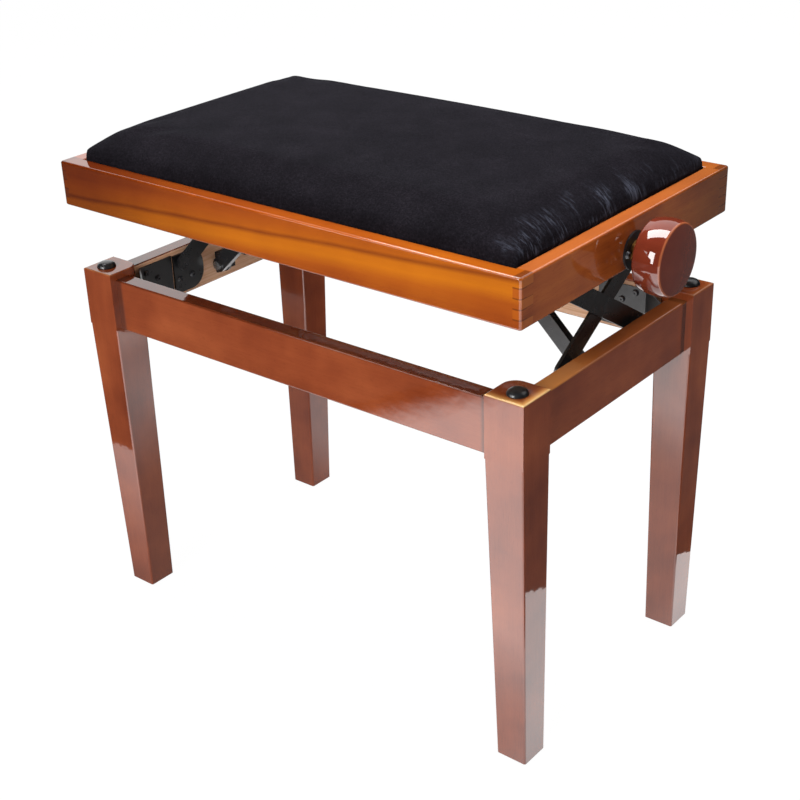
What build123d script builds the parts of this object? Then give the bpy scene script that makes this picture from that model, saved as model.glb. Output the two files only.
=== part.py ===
from build123d import *
from math import asin, cos, degrees, hypot, radians, sin, sqrt
import os

# Adjustable piano stool, in millimetres. +X is the knob end, -Y the front, +Z up.
# The pieces are drawn about the middle of the seat, at the height they have at rest,
# and moved along X at the end, so that the knob and the far end lie equally far out.
# The floor is z = 0.

# Seat frame
seat_length = 550.0
seat_depth = 340.0
rail_height = 45.0
rail_thickness = 17.0
rail_bottom = 452.0
rail_edge_radius = 2.0
rail_corner_radius = 3.0
finger_count = 5
finger_length = 8.0

# Seat board, padding and the wooden pieces under the board
board_thickness = 12.0
board_clearance = 0.5
board_drop = 3.0
batten_width = 25.0
batten_height = 20.0
batten_gap = 32.0
corner_block_leg = 45.0
batten_end_gap = 2.0
ledge_width = 15.0
ledge_height = 15.0
cover_side = 9.0
cover_shoulder_width = 32.0
cover_shoulder_rise = 22.5
cover_crown_rise = 5.5
foam_inset = 11.0
foam_height = 19.0
foam_radius = 3.0

# Base
base_inset_x = 3.0
base_inset_y = 9.0
leg_top = 382.0
leg_square = 40.0
foot_square = 32.0
foot_inset_x = 2.0
foot_inset_y = 9.0
leg_edge_radius = 2.0
leg_top_radius = 1.5
leg_inner_radius = 14.0
apron_height = 54.0
apron_thickness = 18.0
apron_drop = 7.0
apron_recess = 7.0
apron_edge_radius = 1.5

# Glides under the feet and rubber stops on the legs
glide_radius = 10.0
glide_height = 3.0
glide_edge_radius = 1.5
glide_pin_radius = 1.5
glide_pin_length = 10.0
bumper_radius = 9.5
bumper_height = 5.5
bumper_edge_radius = 4.0
bumper_stem_radius = 3.0
bumper_stem_length = 8.0
bumper_outset_x = 3.0
bumper_outset_y = 4.0

# Screws
screw_radius = 1.75
screw_length = 12.0
screw_head_radius = 3.6
screw_head_top_radius = 2.4
screw_head_height = 2.2
screw_recess_radius = 1.1
screw_recess_depth = 1.0

# Corner brackets and hanger bolts
bracket_sheet = 1.5
bracket_height = 45.0
bracket_bottom_gap = 4.0
bracket_long_bend = 33.0
bracket_end_bend = 26.0
bracket_long_leaf = 54.0
bracket_end_leaf = 44.0
bolt_radius = 4.0
bolt_depth = 34.0
bolt_stand = 10.0
nut_flats = 13.0
nut_height = 6.5
washer_radius = 8.0
washer_thickness = 1.6

# Scissor mechanism, one unit at each end
arm_width = 20.0
arm_thickness = 3.0
arm_gap = 0.5
plate_thickness = 2.5
front_pivot_offset = 53.0
guide_leg_gap = 13.26
lower_pivot_drop = 13.35
upper_pivot_drop = 10.0
pin_radius = 4.0
pin_shoulder_radius = 5.5
running_clearance = 0.08
open_clearance = 0.3
slot_clearance = 0.2
slot_end_clearance = 0.7
plate_margin = 5.0
stop_gap = 1.2
high_lift = 16.0

# Lower brackets on the end aprons
front_plate_length = 42.0
front_plate_height = 43.0
front_plate_top_gap = 6.5
front_plate_radius = 18.0
front_plate_edge = 11.0
guide_pad_length = 25.0
guide_height = 33.0
guide_leaf_gap = 1.0

# Upper brackets under the end battens
upper_flange_width = 23.0
upper_web_margin = 10.0
upper_front_margin = 13.0
upper_notch_width = 27.0
upper_notch_depth = 10.0

# Struts, nuts and spindle
spindle_radius = 6.0
spindle_end_radius = 5.0
spindle_middle_drop = 7.5
spindle_end_gap = 2.0
strut_width = 16.0
strut_thickness = 8.0
strut_gap = 0.5
strut_foot_inset = 13.0
strut_foot_height = 23.0
strut_angle = 44.0
strut_pin_radius = 3.0
strut_pin_head_radius = 5.0
strut_pin_head_height = 2.5
strut_pin_drop = 21.0
lug_thickness = 3.0
lug_radius = 9.0
lug_base_length = 27.0
lug_base_height = 24.0
lug_base_top = 10.0
nut_block_length = 20.0
nut_block_depth = 24.0
nut_block_height = 22.0
nut_bore_clearance = 1.8
nut_lug_thickness = 6.0
nut_lug_radius = 7.0

# Bearings, collars, escutcheon and knob
bush_radius = 9.5
bush_flange_radius = 13.0
bush_flange_thickness = 2.5
bush_depth = 12.0
bush_stand = 6.0
collar_radius = 11.0
collar_length = 9.0
collar_gap = 0.3
escutcheon_radius = 17.5
escutcheon_thickness = 2.0
escutcheon_screw_ring = 13.4
knob_radius = 34.0
knob_length = 30.0
knob_gap = 15.0
knob_rim_radius = 2.0
knob_back_radius = 5.0
knob_bulge = 1.5
knob_face_dome = 1.5
knob_hub_radius = 12.0
knob_hub_length = 3.0
knob_bore_depth = 18.0
set_screw_radius = 2.5
set_screw_place = 7.0
set_screw_length = 12.0
cut_overrun = 1.0

# The share of a quarter round's radius that its middle stands out each way
diagonal_share = sqrt(0.5)

# Places that follow from the sizes
half_length = seat_length / 2
half_depth = seat_depth / 2
inner_x = half_length - rail_thickness
inner_y = half_depth - rail_thickness
rail_top = rail_bottom + rail_height
board_top = rail_top - board_drop
board_bottom = board_top - board_thickness
batten_bottom = board_bottom - batten_height
base_x = half_length - base_inset_x
base_y = half_depth - base_inset_y
leg_inner_x = base_x - leg_square
leg_inner_y = base_y - leg_square
apron_top = leg_top - apron_drop
apron_bottom = apron_top - apron_height
apron_face_x = base_x - apron_recess - apron_thickness
apron_face_y = base_y - apron_recess - apron_thickness
bumper_x = leg_inner_x + leg_square / 2 + bumper_outset_x
bumper_y = leg_inner_y + leg_square / 2 + bumper_outset_y
bracket_bottom = apron_bottom + bracket_bottom_gap

# Layers of the right-hand unit, from the end apron inwards
guide_x = apron_face_x - bracket_sheet - plate_thickness
falling_x = guide_x - arm_gap - arm_thickness
rising_x = falling_x - arm_gap - arm_thickness
upper_x = rising_x - arm_gap - plate_thickness

# Heights and angles of the scissor
lower_pivot_z = apron_top - lower_pivot_drop
upper_pivot_z = rail_bottom - upper_pivot_drop
pivot_rise = upper_pivot_z - lower_pivot_z
lowest_rise = pivot_rise - (rail_bottom - leg_top - bumper_height - stop_gap)
highest_rise = pivot_rise + high_lift
slot_reach = pin_radius + slot_end_clearance
front_pivot_y = -front_pivot_offset
lowest_reach = leg_inner_y - guide_leg_gap - plate_margin - slot_reach - front_pivot_y
arm_span = hypot(lowest_reach, lowest_rise)
rest_angle = asin(pivot_rise / arm_span)
low_angle = asin(lowest_rise / arm_span)
high_angle = asin(highest_rise / arm_span)
cross_y = front_pivot_y + arm_span / 2 * cos(rest_angle)
cross_z = (lower_pivot_z + upper_pivot_z) / 2
rear_pin_y = front_pivot_y + arm_span * cos(rest_angle)
slot_front = front_pivot_y + arm_span * cos(high_angle) - slot_reach
slot_rear = front_pivot_y + arm_span * cos(low_angle) + slot_reach
slot_width = 2 * (pin_radius + slot_clearance)

# Strut, nut and spindle places
spindle_z = rail_bottom + rail_height / 2 - spindle_middle_drop
strut_foot_x = apron_face_x - strut_foot_inset
strut_foot_z = apron_bottom + strut_foot_height
strut_head_z = spindle_z - strut_pin_drop
strut_span = (strut_head_z - strut_foot_z) / sin(radians(strut_angle))
strut_head_x = strut_foot_x - strut_span * cos(radians(strut_angle))
lug_back = lug_thickness / 2
lug_front = lug_back - lug_thickness
strut_back = lug_front - strut_gap
strut_front = strut_back - strut_thickness
knob_back = half_length + knob_gap
knob_front = knob_back + knob_length
middle_shift = (knob_front - half_length) / 2

os.makedirs("parts", exist_ok=True)


def hand_over(piece, name):
    """Label a finished piece, move it to the middle of the overall box and write it."""
    piece.part.label = name
    piece.part.locate(Location((-middle_shift, 0, 0)))
    export_step(piece.part, "parts/" + name + ".step")


def mirrored(piece, *planes):
    """A copy of a piece, mirrored about one plane or about two in turn."""
    shape = piece.part
    for plane in planes:
        with BuildPart() as copy:
            mirror(shape, about=plane)
        shape = copy.part
    return copy


def in_four_corners(piece, name):
    """Write a piece made for the right rear corner, and its copies for the others."""
    front = mirrored(piece, Plane.XZ)
    rear_left = mirrored(piece, Plane.YZ)
    front_left = mirrored(piece, Plane.XZ, Plane.YZ)
    hand_over(piece, "rear_right_" + name)
    hand_over(front, "front_right_" + name)
    hand_over(rear_left, "rear_left_" + name)
    hand_over(front_left, "front_left_" + name)


def left_and_right(piece, name):
    """Write a piece made for the right end, and its mirrored copy for the left end."""
    other = mirrored(piece, Plane.YZ)
    hand_over(piece, "right_" + name)
    hand_over(other, "left_" + name)


def rear_and_front(piece, name):
    """Write a piece made for the rear, and its mirrored copy for the front."""
    other = mirrored(piece, Plane.XZ)
    hand_over(piece, "rear_" + name)
    hand_over(other, "front_" + name)


def facing(x, y, z, direction):
    """A plane at a point, with its normal along the given direction."""
    return Plane(origin=(x, y, z), z_dir=direction)


def side_plane(x, y=0.0, z=0.0):
    """A plane square to X, whose own axes are Y and Z."""
    return Plane(origin=(x, y, z), x_dir=(0, 1, 0), z_dir=(1, 0, 0))


def front_plane(y, x=0.0, z=0.0):
    """A plane square to Y, whose own axes are X and Z and whose normal points forward."""
    return Plane(origin=(x, y, z), x_dir=(1, 0, 0), z_dir=(0, -1, 0))


def screws(planes):
    """Pan-head wood screws as separate solids. Each plane lies on the face that the head
    seats on, with its normal pointing out of the wood."""
    with BuildPart() as group:
        with Locations(*planes):
            Cylinder(screw_radius, screw_length, align=(Align.CENTER, Align.CENTER, Align.MAX))
            Cone(
                screw_head_radius,
                screw_head_top_radius,
                screw_head_height,
                align=(Align.CENTER, Align.CENTER, Align.MIN),
            )
        with Locations(*[plane.offset(screw_head_height) for plane in planes]):
            Hole(screw_recess_radius, screw_recess_depth)
    return group


def screw_holes(planes, overrun=0.0):
    """Cut the seats of the screws in the piece being built."""
    with Locations(*[plane.offset(overrun) for plane in planes]):
        Hole(screw_radius, screw_length + overrun)


def both_ends(planes):
    """The planes of the right end and their mirror images at the left end."""
    others = [
        facing(-p.origin.X, p.origin.Y, p.origin.Z, (-p.z_dir.X, p.z_dir.Y, p.z_dir.Z))
        for p in planes
    ]
    return planes + others


def both_sides(planes):
    """The planes of the rear and their mirror images at the front."""
    others = [
        facing(p.origin.X, -p.origin.Y, p.origin.Z, (p.z_dir.X, -p.z_dir.Y, p.z_dir.Z))
        for p in planes
    ]
    return planes + others


# Screw places
inwards = (-1, 0, 0)
bracket_long_face = apron_face_y - bracket_sheet
bracket_end_face = apron_face_x - bracket_sheet
bracket_bend_x = apron_face_x - bracket_long_bend
bracket_bend_y = apron_face_y - bracket_end_bend
bracket_tip_x = bracket_bend_x - bracket_long_leaf
bracket_tip_y = bracket_bend_y - bracket_end_leaf
long_leaf_shares = ((0.22, 0.87), (0.50, 0.65))
end_leaf_front_shares = ((0.18, 0.82), (0.52, 0.60))
end_leaf_rear_shares = ((0.18, 0.17), (0.60, 0.17))


def on_long_leaf(share, rise):
    x = bracket_bend_x - share * bracket_long_leaf
    return facing(x, bracket_long_face, bracket_bottom + rise * bracket_height, (0, -1, 0))


def on_end_leaf(share, rise, side):
    y = side * (bracket_bend_y - share * bracket_end_leaf)
    return facing(bracket_end_face, y, bracket_bottom + rise * bracket_height, inwards)


long_leaf_screws = [on_long_leaf(share, rise) for share, rise in long_leaf_shares]
end_leaf_screws = [on_end_leaf(share, rise, -1) for share, rise in end_leaf_front_shares]
end_leaf_screws += [on_end_leaf(share, rise, 1) for share, rise in end_leaf_rear_shares]

front_plate_top = apron_top - front_plate_top_gap
front_plate_bottom = front_plate_top - front_plate_height
front_plate_y = front_pivot_y - front_plate_edge
front_plate_face = apron_face_x - plate_thickness
front_plate_screw_shares = ((0.17, 0.36), (0.60, 0.36))
front_plate_screws = [
    facing(
        front_plate_face,
        front_plate_y + share * front_plate_length,
        front_plate_bottom + rise * front_plate_height,
        inwards,
    )
    for share, rise in front_plate_screw_shares
]

guide_rear = slot_rear + plate_margin
guide_pad_rear = bracket_tip_y - guide_leaf_gap
guide_front = guide_pad_rear - guide_pad_length
guide_top = lower_pivot_z + slot_width / 2 + plate_margin
guide_bottom = guide_top - guide_height
guide_screw_shares = ((0.25, 0.20), (0.75, 0.20))
guide_screws = [
    facing(
        guide_x,
        guide_front + share * guide_pad_length,
        guide_bottom + rise * guide_height,
        inwards,
    )
    for share, rise in guide_screw_shares
]

lug_screw_shares = ((0.40, 0.5), (0.80, 0.5))
lug_screws = [
    facing(
        front_plate_face,
        lug_front + share * lug_base_length,
        strut_foot_z + lug_base_top - rise * lug_base_height,
        inwards,
    )
    for share, rise in lug_screw_shares
]
end_apron_screws = end_leaf_screws + front_plate_screws + guide_screws + lug_screws

upper_front = front_pivot_y - upper_front_margin
upper_rear = slot_rear + plate_margin
upper_top = batten_bottom
upper_bottom = upper_pivot_z - upper_web_margin
upper_flange_bottom = upper_top - plate_thickness
upper_screw_shares = (0.08, 0.24, 0.62, 0.90)
upper_screws = [
    facing(
        upper_x + upper_flange_width / 2,
        upper_front + share * (upper_rear - upper_front),
        upper_flange_bottom,
        (0, 0, -1),
    )
    for share in upper_screw_shares
]

escutcheon_face = half_length + escutcheon_thickness
escutcheon_screws = [
    facing(escutcheon_face, side * escutcheon_screw_ring, spindle_z, (1, 0, 0)) for side in (-1, 1)
]

# Leg of the right rear corner: a square block between the aprons, tapered below them
foot_x = base_x - foot_inset_x - foot_square / 2
foot_y = base_y - foot_inset_y - foot_square / 2
block_x = leg_inner_x + leg_square / 2
block_y = leg_inner_y + leg_square / 2
diagonal_x = apron_face_x - bracket_long_bend / 2
diagonal_y = apron_face_y - bracket_end_bend / 2
diagonal_run = hypot(bracket_long_bend, bracket_end_bend)
diagonal_normal = (bracket_end_bend / diagonal_run, bracket_long_bend / diagonal_run, 0)
bolt_z = bracket_bottom + bracket_height / 2
bolt_plane = facing(diagonal_x, diagonal_y, bolt_z, diagonal_normal)

with BuildPart() as leg:
    with BuildSketch(Plane(origin=(block_x, block_y, apron_bottom))) as block_outline:
        Rectangle(leg_square, leg_square)
        corners = block_outline.vertices().sort_by(Axis((0, 0, 0), (1, 1, 0)))
        fillet(corners[0], leg_inner_radius)
        fillet(corners[1:], leg_edge_radius)
    extrude(amount=leg_top - apron_bottom)
    fillet(leg.faces().sort_by(Axis.Z)[-1].edges(), leg_top_radius)
    with BuildSketch(Plane(origin=(block_x, block_y, apron_bottom))):
        RectangleRounded(leg_square, leg_square, leg_edge_radius)
    with BuildSketch(Plane(origin=(foot_x, foot_y, glide_height))):
        RectangleRounded(foot_square, foot_square, leg_edge_radius)
    loft()
    with Locations(facing(bumper_x, bumper_y, leg_top, (0, 0, 1))):
        Hole(bumper_stem_radius, bumper_stem_length)
    with Locations(facing(foot_x, foot_y, glide_height, (0, 0, -1))):
        Hole(glide_pin_radius, glide_pin_length)
    with Locations(facing(diagonal_x, diagonal_y, bolt_z, tuple(-n for n in diagonal_normal))):
        Hole(bolt_radius, bolt_depth)
in_four_corners(leg, "leg")

# Glides and rubber stops, one of each at every leg
glide_places = [facing(sx * foot_x, sy * foot_y, 0, (0, 0, 1)) for sx in (-1, 1) for sy in (-1, 1)]
with BuildPart() as glides:
    with Locations(*glide_places):
        Cylinder(glide_radius, glide_height, align=(Align.CENTER, Align.CENTER, Align.MIN))
    fillet(glides.edges().filter_by(GeomType.CIRCLE).group_by(Axis.Z)[0], glide_edge_radius)
    with Locations(*[plane.offset(glide_height) for plane in glide_places]):
        Cylinder(glide_pin_radius, glide_pin_length, align=(Align.CENTER, Align.CENTER, Align.MIN))
hand_over(glides, "foot_glides")

bumper_places = [
    facing(sx * bumper_x, sy * bumper_y, leg_top, (0, 0, 1)) for sx in (-1, 1) for sy in (-1, 1)
]
with BuildPart() as bumpers:
    with Locations(*bumper_places):
        Cylinder(bumper_radius, bumper_height, align=(Align.CENTER, Align.CENTER, Align.MIN))
    fillet(bumpers.edges().filter_by(GeomType.CIRCLE).group_by(Axis.Z)[-1], bumper_edge_radius)
    with Locations(*bumper_places):
        Cylinder(
            bumper_stem_radius,
            bumper_stem_length,
            align=(Align.CENTER, Align.CENTER, Align.MAX),
        )
hand_over(bumpers, "leg_bumpers")

# Aprons, butted between the leg blocks
with BuildPart() as rear_apron:
    with BuildSketch(Plane.XY.offset(apron_bottom)):
        with Locations((0, apron_face_y + apron_thickness / 2)):
            Rectangle(2 * leg_inner_x, apron_thickness)
    extrude(amount=apron_height)
    fillet(rear_apron.edges().filter_by(Axis.X), apron_edge_radius)
    screw_holes(both_ends([plane.offset(-bracket_sheet) for plane in long_leaf_screws]))
rear_and_front(rear_apron, "apron")

with BuildPart() as end_apron:
    with BuildSketch(Plane.XY.offset(apron_bottom)):
        with Locations((apron_face_x + apron_thickness / 2, 0)):
            Rectangle(apron_thickness, 2 * leg_inner_y)
    extrude(amount=apron_height)
    fillet(end_apron.edges().filter_by(Axis.Y), apron_edge_radius)
    screw_holes(end_apron_screws)
left_and_right(end_apron, "apron")

# Corner bracket: sheet steel, a leaf on each apron and a diagonal for the hanger bolt
with BuildPart() as corner_bracket:
    with BuildSketch(Plane.XY.offset(bracket_bottom)):
        with BuildLine():
            Polyline(
                (bracket_tip_x, apron_face_y),
                (bracket_bend_x, apron_face_y),
                (apron_face_x, bracket_bend_y),
                (apron_face_x, bracket_tip_y),
            )
            offset(amount=bracket_sheet, side=Side.RIGHT, kind=Kind.INTERSECTION)
        make_face()
    extrude(amount=bracket_height)
    screw_holes(long_leaf_screws, cut_overrun)
    front_and_rear_shares = end_leaf_front_shares + end_leaf_rear_shares
    screw_holes([on_end_leaf(share, rise, 1) for share, rise in front_and_rear_shares], cut_overrun)
    with Locations(bolt_plane.offset(cut_overrun)):
        Hole(bolt_radius, bracket_sheet + 2 * cut_overrun)
in_four_corners(corner_bracket, "corner_bracket")

base_screw_planes = both_ends(both_sides(long_leaf_screws)) + both_ends(end_apron_screws)
base_screws = screws(base_screw_planes)
hand_over(base_screws, "base_screws")

# Hanger bolts into the legs, each with a washer and a nut on the bracket's diagonal
with BuildPart() as hanger_bolt:
    with Locations(bolt_plane):
        Cylinder(bolt_radius, bolt_depth, align=(Align.CENTER, Align.CENTER, Align.MIN))
        Cylinder(
            bolt_radius,
            bracket_sheet + washer_thickness + nut_height + bolt_stand / 2,
            align=(Align.CENTER, Align.CENTER, Align.MAX),
        )
    with Locations(bolt_plane.offset(-bracket_sheet)):
        Cylinder(washer_radius, washer_thickness, align=(Align.CENTER, Align.CENTER, Align.MAX))
    with BuildSketch(bolt_plane.offset(-bracket_sheet - washer_thickness)):
        RegularPolygon(nut_flats / 2, 6, major_radius=False)
    extrude(amount=-nut_height)
with BuildPart() as hanger_bolts:
    add(hanger_bolt.part)
    mirror(about=Plane.XZ)
    mirror(about=Plane.YZ)
hand_over(hanger_bolts, "hanger_bolts")

# Front lower bracket: a flat plate with a round end, which holds the lower pivot pin
with BuildPart() as front_plate:
    with BuildSketch(side_plane(front_plate_face)) as plate_outline:
        with Locations((front_plate_y, front_plate_bottom)):
            Rectangle(front_plate_length, front_plate_height, align=(Align.MIN, Align.MIN))
        fillet(plate_outline.vertices().group_by(Axis.X)[-1], front_plate_radius)
    extrude(amount=plate_thickness)
    screw_holes(front_plate_screws, cut_overrun)
    with Locations(facing(front_plate_face, front_pivot_y, lower_pivot_z, inwards).offset(cut_overrun)):
        Hole(pin_radius, plate_thickness + 2 * cut_overrun)
left_and_right(front_plate, "front_lower_bracket")

# Rear lower guide: a plate with a straight slot, packed out to clear the corner bracket
with BuildPart() as guide:
    with BuildSketch(side_plane(guide_x)):
        with Locations((guide_front, guide_bottom)):
            Rectangle(guide_rear - guide_front, guide_height, align=(Align.MIN, Align.MIN))
        with Locations(((slot_front + slot_rear) / 2, lower_pivot_z)):
            SlotOverall(slot_rear - slot_front, slot_width, mode=Mode.SUBTRACT)
    extrude(amount=plate_thickness)
    with BuildSketch(side_plane(guide_x + plate_thickness)):
        with Locations((guide_front, guide_bottom)):
            Rectangle(guide_pad_length, guide_height, align=(Align.MIN, Align.MIN))
    extrude(amount=bracket_sheet)
    screw_holes(guide_screws, cut_overrun)
left_and_right(guide, "rear_lower_guide")

# Strut bracket: a base on the apron and one lug square to it
with BuildPart() as strut_bracket:
    with BuildSketch(side_plane(front_plate_face)):
        with Locations((lug_front, strut_foot_z + lug_base_top)):
            Rectangle(lug_base_length, lug_base_height, align=(Align.MIN, Align.MAX))
    extrude(amount=plate_thickness)
    with BuildSketch(front_plane(lug_front)):
        with Locations((strut_foot_x, strut_foot_z)):
            Circle(lug_radius)
        with Locations((strut_foot_x, strut_foot_z)):
            Rectangle(front_plate_face - strut_foot_x, 2 * lug_radius, align=(Align.MIN, Align.CENTER))
    extrude(amount=-lug_thickness)
    screw_holes(lug_screws, cut_overrun)
    with Locations(front_plane(lug_front - cut_overrun, strut_foot_x, strut_foot_z)):
        Hole(strut_pin_radius, lug_thickness + 2 * cut_overrun)
left_and_right(strut_bracket, "strut_bracket")

# Pins that stay with the base: the lower pivots of the scissors and of the struts
with BuildPart() as lower_pin:
    with Locations(side_plane(rising_x, front_pivot_y, lower_pivot_z)):
        Cylinder(pin_radius, apron_face_x - rising_x, align=(Align.CENTER, Align.CENTER, Align.MIN))
    with Locations(side_plane(falling_x - arm_gap / 2, front_pivot_y, lower_pivot_z)):
        Cylinder(
            pin_shoulder_radius,
            front_plate_face - falling_x + arm_gap / 2,
            align=(Align.CENTER, Align.CENTER, Align.MIN),
        )
    mirror(about=Plane.YZ)
hand_over(lower_pin, "lower_pivot_pins")

with BuildPart() as strut_pins:
    with Locations(front_plane(lug_back, strut_foot_x, strut_foot_z)):
        Cylinder(
            strut_pin_radius,
            lug_back - strut_front,
            align=(Align.CENTER, Align.CENTER, Align.MIN),
        )
    with Locations(front_plane(strut_front - strut_gap / 2, strut_foot_x, strut_foot_z)):
        Cylinder(
            strut_pin_head_radius,
            strut_pin_head_height,
            align=(Align.CENTER, Align.CENTER, Align.MIN),
        )
        Cylinder(strut_pin_radius, strut_gap, align=(Align.CENTER, Align.CENTER, Align.CENTER))
    mirror(about=Plane.YZ)
hand_over(strut_pins, "strut_foot_pins")


def arm(x, front_z, direction, bores):
    """A flat bar of the scissor from its front end, with a bore of a given radius at the
    front, the middle and the rear."""
    front = Plane(
        origin=(x, front_pivot_y, front_z),
        x_dir=(0, cos(rest_angle), direction * sin(rest_angle)),
        z_dir=(1, 0, 0),
    )
    with BuildPart() as bar:
        with BuildSketch(front):
            with Locations((arm_span / 2, 0)):
                SlotCenterToCenter(arm_span, arm_width)
            for place, bore in zip((0, arm_span / 2, arm_span), bores):
                with Locations((place, 0)):
                    Circle(bore, mode=Mode.SUBTRACT)
        extrude(amount=arm_thickness)
    return bar


loose_bore = pin_radius + running_clearance
rising_arm = arm(rising_x, lower_pivot_z, 1, (loose_bore, pin_radius, pin_radius))
left_and_right(rising_arm, "rising_arm")

# The left unit's upper front joint is the open one of the loop, so its bore is wider
right_falling_arm = arm(falling_x, upper_pivot_z, -1, (loose_bore, loose_bore, pin_radius))
left_bores = (pin_radius + open_clearance, loose_bore, pin_radius)
left_falling_arm = mirrored(arm(falling_x, upper_pivot_z, -1, left_bores), Plane.YZ)
hand_over(right_falling_arm, "right_falling_arm")
hand_over(left_falling_arm, "left_falling_arm")

# Pins carried by the arms: the crossing rivet and the two slider pins
with BuildPart() as rising_arm_pins:
    with Locations(side_plane(rising_x, cross_y, cross_z)):
        Cylinder(
            pin_radius,
            falling_x + arm_thickness - rising_x,
            align=(Align.CENTER, Align.CENTER, Align.MIN),
        )
    with Locations(side_plane(upper_x, rear_pin_y, upper_pivot_z)):
        Cylinder(
            pin_radius,
            rising_x + arm_thickness - upper_x,
            align=(Align.CENTER, Align.CENTER, Align.MIN),
        )
left_and_right(rising_arm_pins, "rising_arm_pins")

with BuildPart() as falling_arm_pin:
    with Locations(side_plane(falling_x, rear_pin_y, lower_pivot_z)):
        Cylinder(
            pin_radius,
            guide_x + plate_thickness - arm_gap - falling_x,
            align=(Align.CENTER, Align.CENTER, Align.MIN),
        )
left_and_right(falling_arm_pin, "falling_arm_pin")

# Upper bracket: a steel angle under the end battens, with the pivot hole and the slot
with BuildPart() as upper_bracket:
    with BuildSketch(side_plane(upper_x)):
        with Locations((upper_front, upper_bottom)):
            Rectangle(
                upper_rear - upper_front,
                upper_top - upper_bottom,
                align=(Align.MIN, Align.MIN),
            )
        with Locations((front_pivot_y, upper_pivot_z)):
            Circle(pin_radius, mode=Mode.SUBTRACT)
        with Locations(((slot_front + slot_rear) / 2, upper_pivot_z)):
            SlotOverall(slot_rear - slot_front, slot_width, mode=Mode.SUBTRACT)
    extrude(amount=plate_thickness)
    with BuildSketch(Plane.XY.offset(upper_flange_bottom)):
        with Locations((upper_x, upper_front)):
            Rectangle(upper_flange_width, upper_rear - upper_front, align=(Align.MIN, Align.MIN))
    extrude(amount=plate_thickness)
    with BuildSketch(side_plane(upper_x)):
        with Locations((0, upper_top - upper_notch_depth)):
            Rectangle(upper_notch_width, upper_notch_depth, align=(Align.CENTER, Align.MIN))
    extrude(amount=upper_flange_width, mode=Mode.SUBTRACT)
    screw_holes(upper_screws, cut_overrun)
left_and_right(upper_bracket, "upper_bracket")

with BuildPart() as upper_pin:
    with Locations(side_plane(upper_x, front_pivot_y, upper_pivot_z)):
        Cylinder(
            pin_radius,
            falling_x + arm_thickness - upper_x,
            align=(Align.CENTER, Align.CENTER, Align.MIN),
        )
    with Locations(side_plane(upper_x + plate_thickness, front_pivot_y, upper_pivot_z)):
        Cylinder(
            pin_shoulder_radius,
            falling_x - arm_gap / 2 - upper_x - plate_thickness,
            align=(Align.CENTER, Align.CENTER, Align.MIN),
        )
    mirror(about=Plane.YZ)
hand_over(upper_pin, "upper_pivot_pins")

# Strut: a flat bar from the apron's lug up to the nut on the spindle
strut_plane = Plane(
    origin=(strut_foot_x, strut_front, strut_foot_z),
    x_dir=(-cos(radians(strut_angle)), 0, sin(radians(strut_angle))),
    z_dir=(0, 1, 0),
)
with BuildPart() as strut:
    with BuildSketch(strut_plane):
        with Locations((strut_span / 2, 0)):
            SlotCenterToCenter(strut_span, strut_width)
        with Locations((0, 0), (strut_span, 0)):
            Circle(strut_pin_radius + running_clearance, mode=Mode.SUBTRACT)
    extrude(amount=strut_thickness)
left_and_right(strut, "strut")

# Nut block on the spindle, with the lug and the pin that carry the strut's head
with BuildPart() as nut_block:
    with BuildSketch(front_plane(lug_front)):
        with Locations((strut_head_x, strut_head_z)):
            Circle(nut_lug_radius)
            Rectangle(2 * nut_lug_radius, strut_pin_drop, align=(Align.CENTER, Align.MIN))
    extrude(amount=-nut_lug_thickness)
    with Locations((strut_head_x, 0, spindle_z)):
        Box(nut_block_length, nut_block_depth, nut_block_height)
    with Locations(side_plane(strut_head_x, 0, spindle_z)):
        Cylinder(
            spindle_radius + nut_bore_clearance,
            nut_block_length + 2 * cut_overrun,
            mode=Mode.SUBTRACT,
        )
    with Locations(front_plane(lug_front - cut_overrun, strut_head_x, strut_head_z)):
        Hole(strut_pin_radius, nut_lug_thickness + 2 * cut_overrun)
left_and_right(nut_block, "spindle_nut")

with BuildPart() as head_pin:
    with Locations(front_plane(lug_front + nut_lug_thickness, strut_head_x, strut_head_z)):
        Cylinder(
            strut_pin_radius,
            lug_front + nut_lug_thickness - strut_front + strut_gap,
            align=(Align.CENTER, Align.CENTER, Align.MIN),
        )
    with Locations(front_plane(strut_front - strut_gap / 2, strut_head_x, strut_head_z)):
        Cylinder(
            strut_pin_head_radius,
            strut_pin_head_height,
            align=(Align.CENTER, Align.CENTER, Align.MIN),
        )
left_and_right(head_pin, "strut_head_pin")

# Seat rails, cut from one frame with finger joints at the corners
with BuildPart() as seat_ring:
    with BuildSketch(Plane.XY.offset(rail_bottom)) as ring_outline:
        Rectangle(seat_length, seat_depth)
        fillet(ring_outline.vertices(), rail_corner_radius)
        Rectangle(2 * inner_x, 2 * inner_y, mode=Mode.SUBTRACT)
    extrude(amount=rail_height)
    fillet(seat_ring.faces().sort_by(Axis.Z)[-1].edges(), rail_edge_radius)
    fillet(seat_ring.faces().sort_by(Axis.Z)[0].outer_wire().edges(), rail_edge_radius)

finger_height = rail_height / finger_count
tongue_levels = [rail_bottom + (level + 0.5) * finger_height for level in range(1, finger_count, 2)]
tongue_x = half_length - finger_length / 2
tongue_y = inner_y + rail_thickness / 2


def tongues(mode):
    """Blocks that hold the end rail's tongues at its two corners."""
    for level in tongue_levels:
        with Locations((tongue_x, tongue_y, level), (tongue_x, -tongue_y, level)):
            Box(finger_length, rail_thickness, finger_height, mode=mode)


with BuildPart() as end_region:
    with Locations((inner_x + rail_thickness / 2, 0, rail_bottom + rail_height / 2)):
        Box(rail_thickness, 2 * inner_y, rail_height)
    tongues(Mode.ADD)

with BuildPart() as end_rail:
    add(seat_ring.part)
    add(end_region.part, mode=Mode.INTERSECT)
plain_left_rail = mirrored(end_rail, Plane.YZ)

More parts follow.
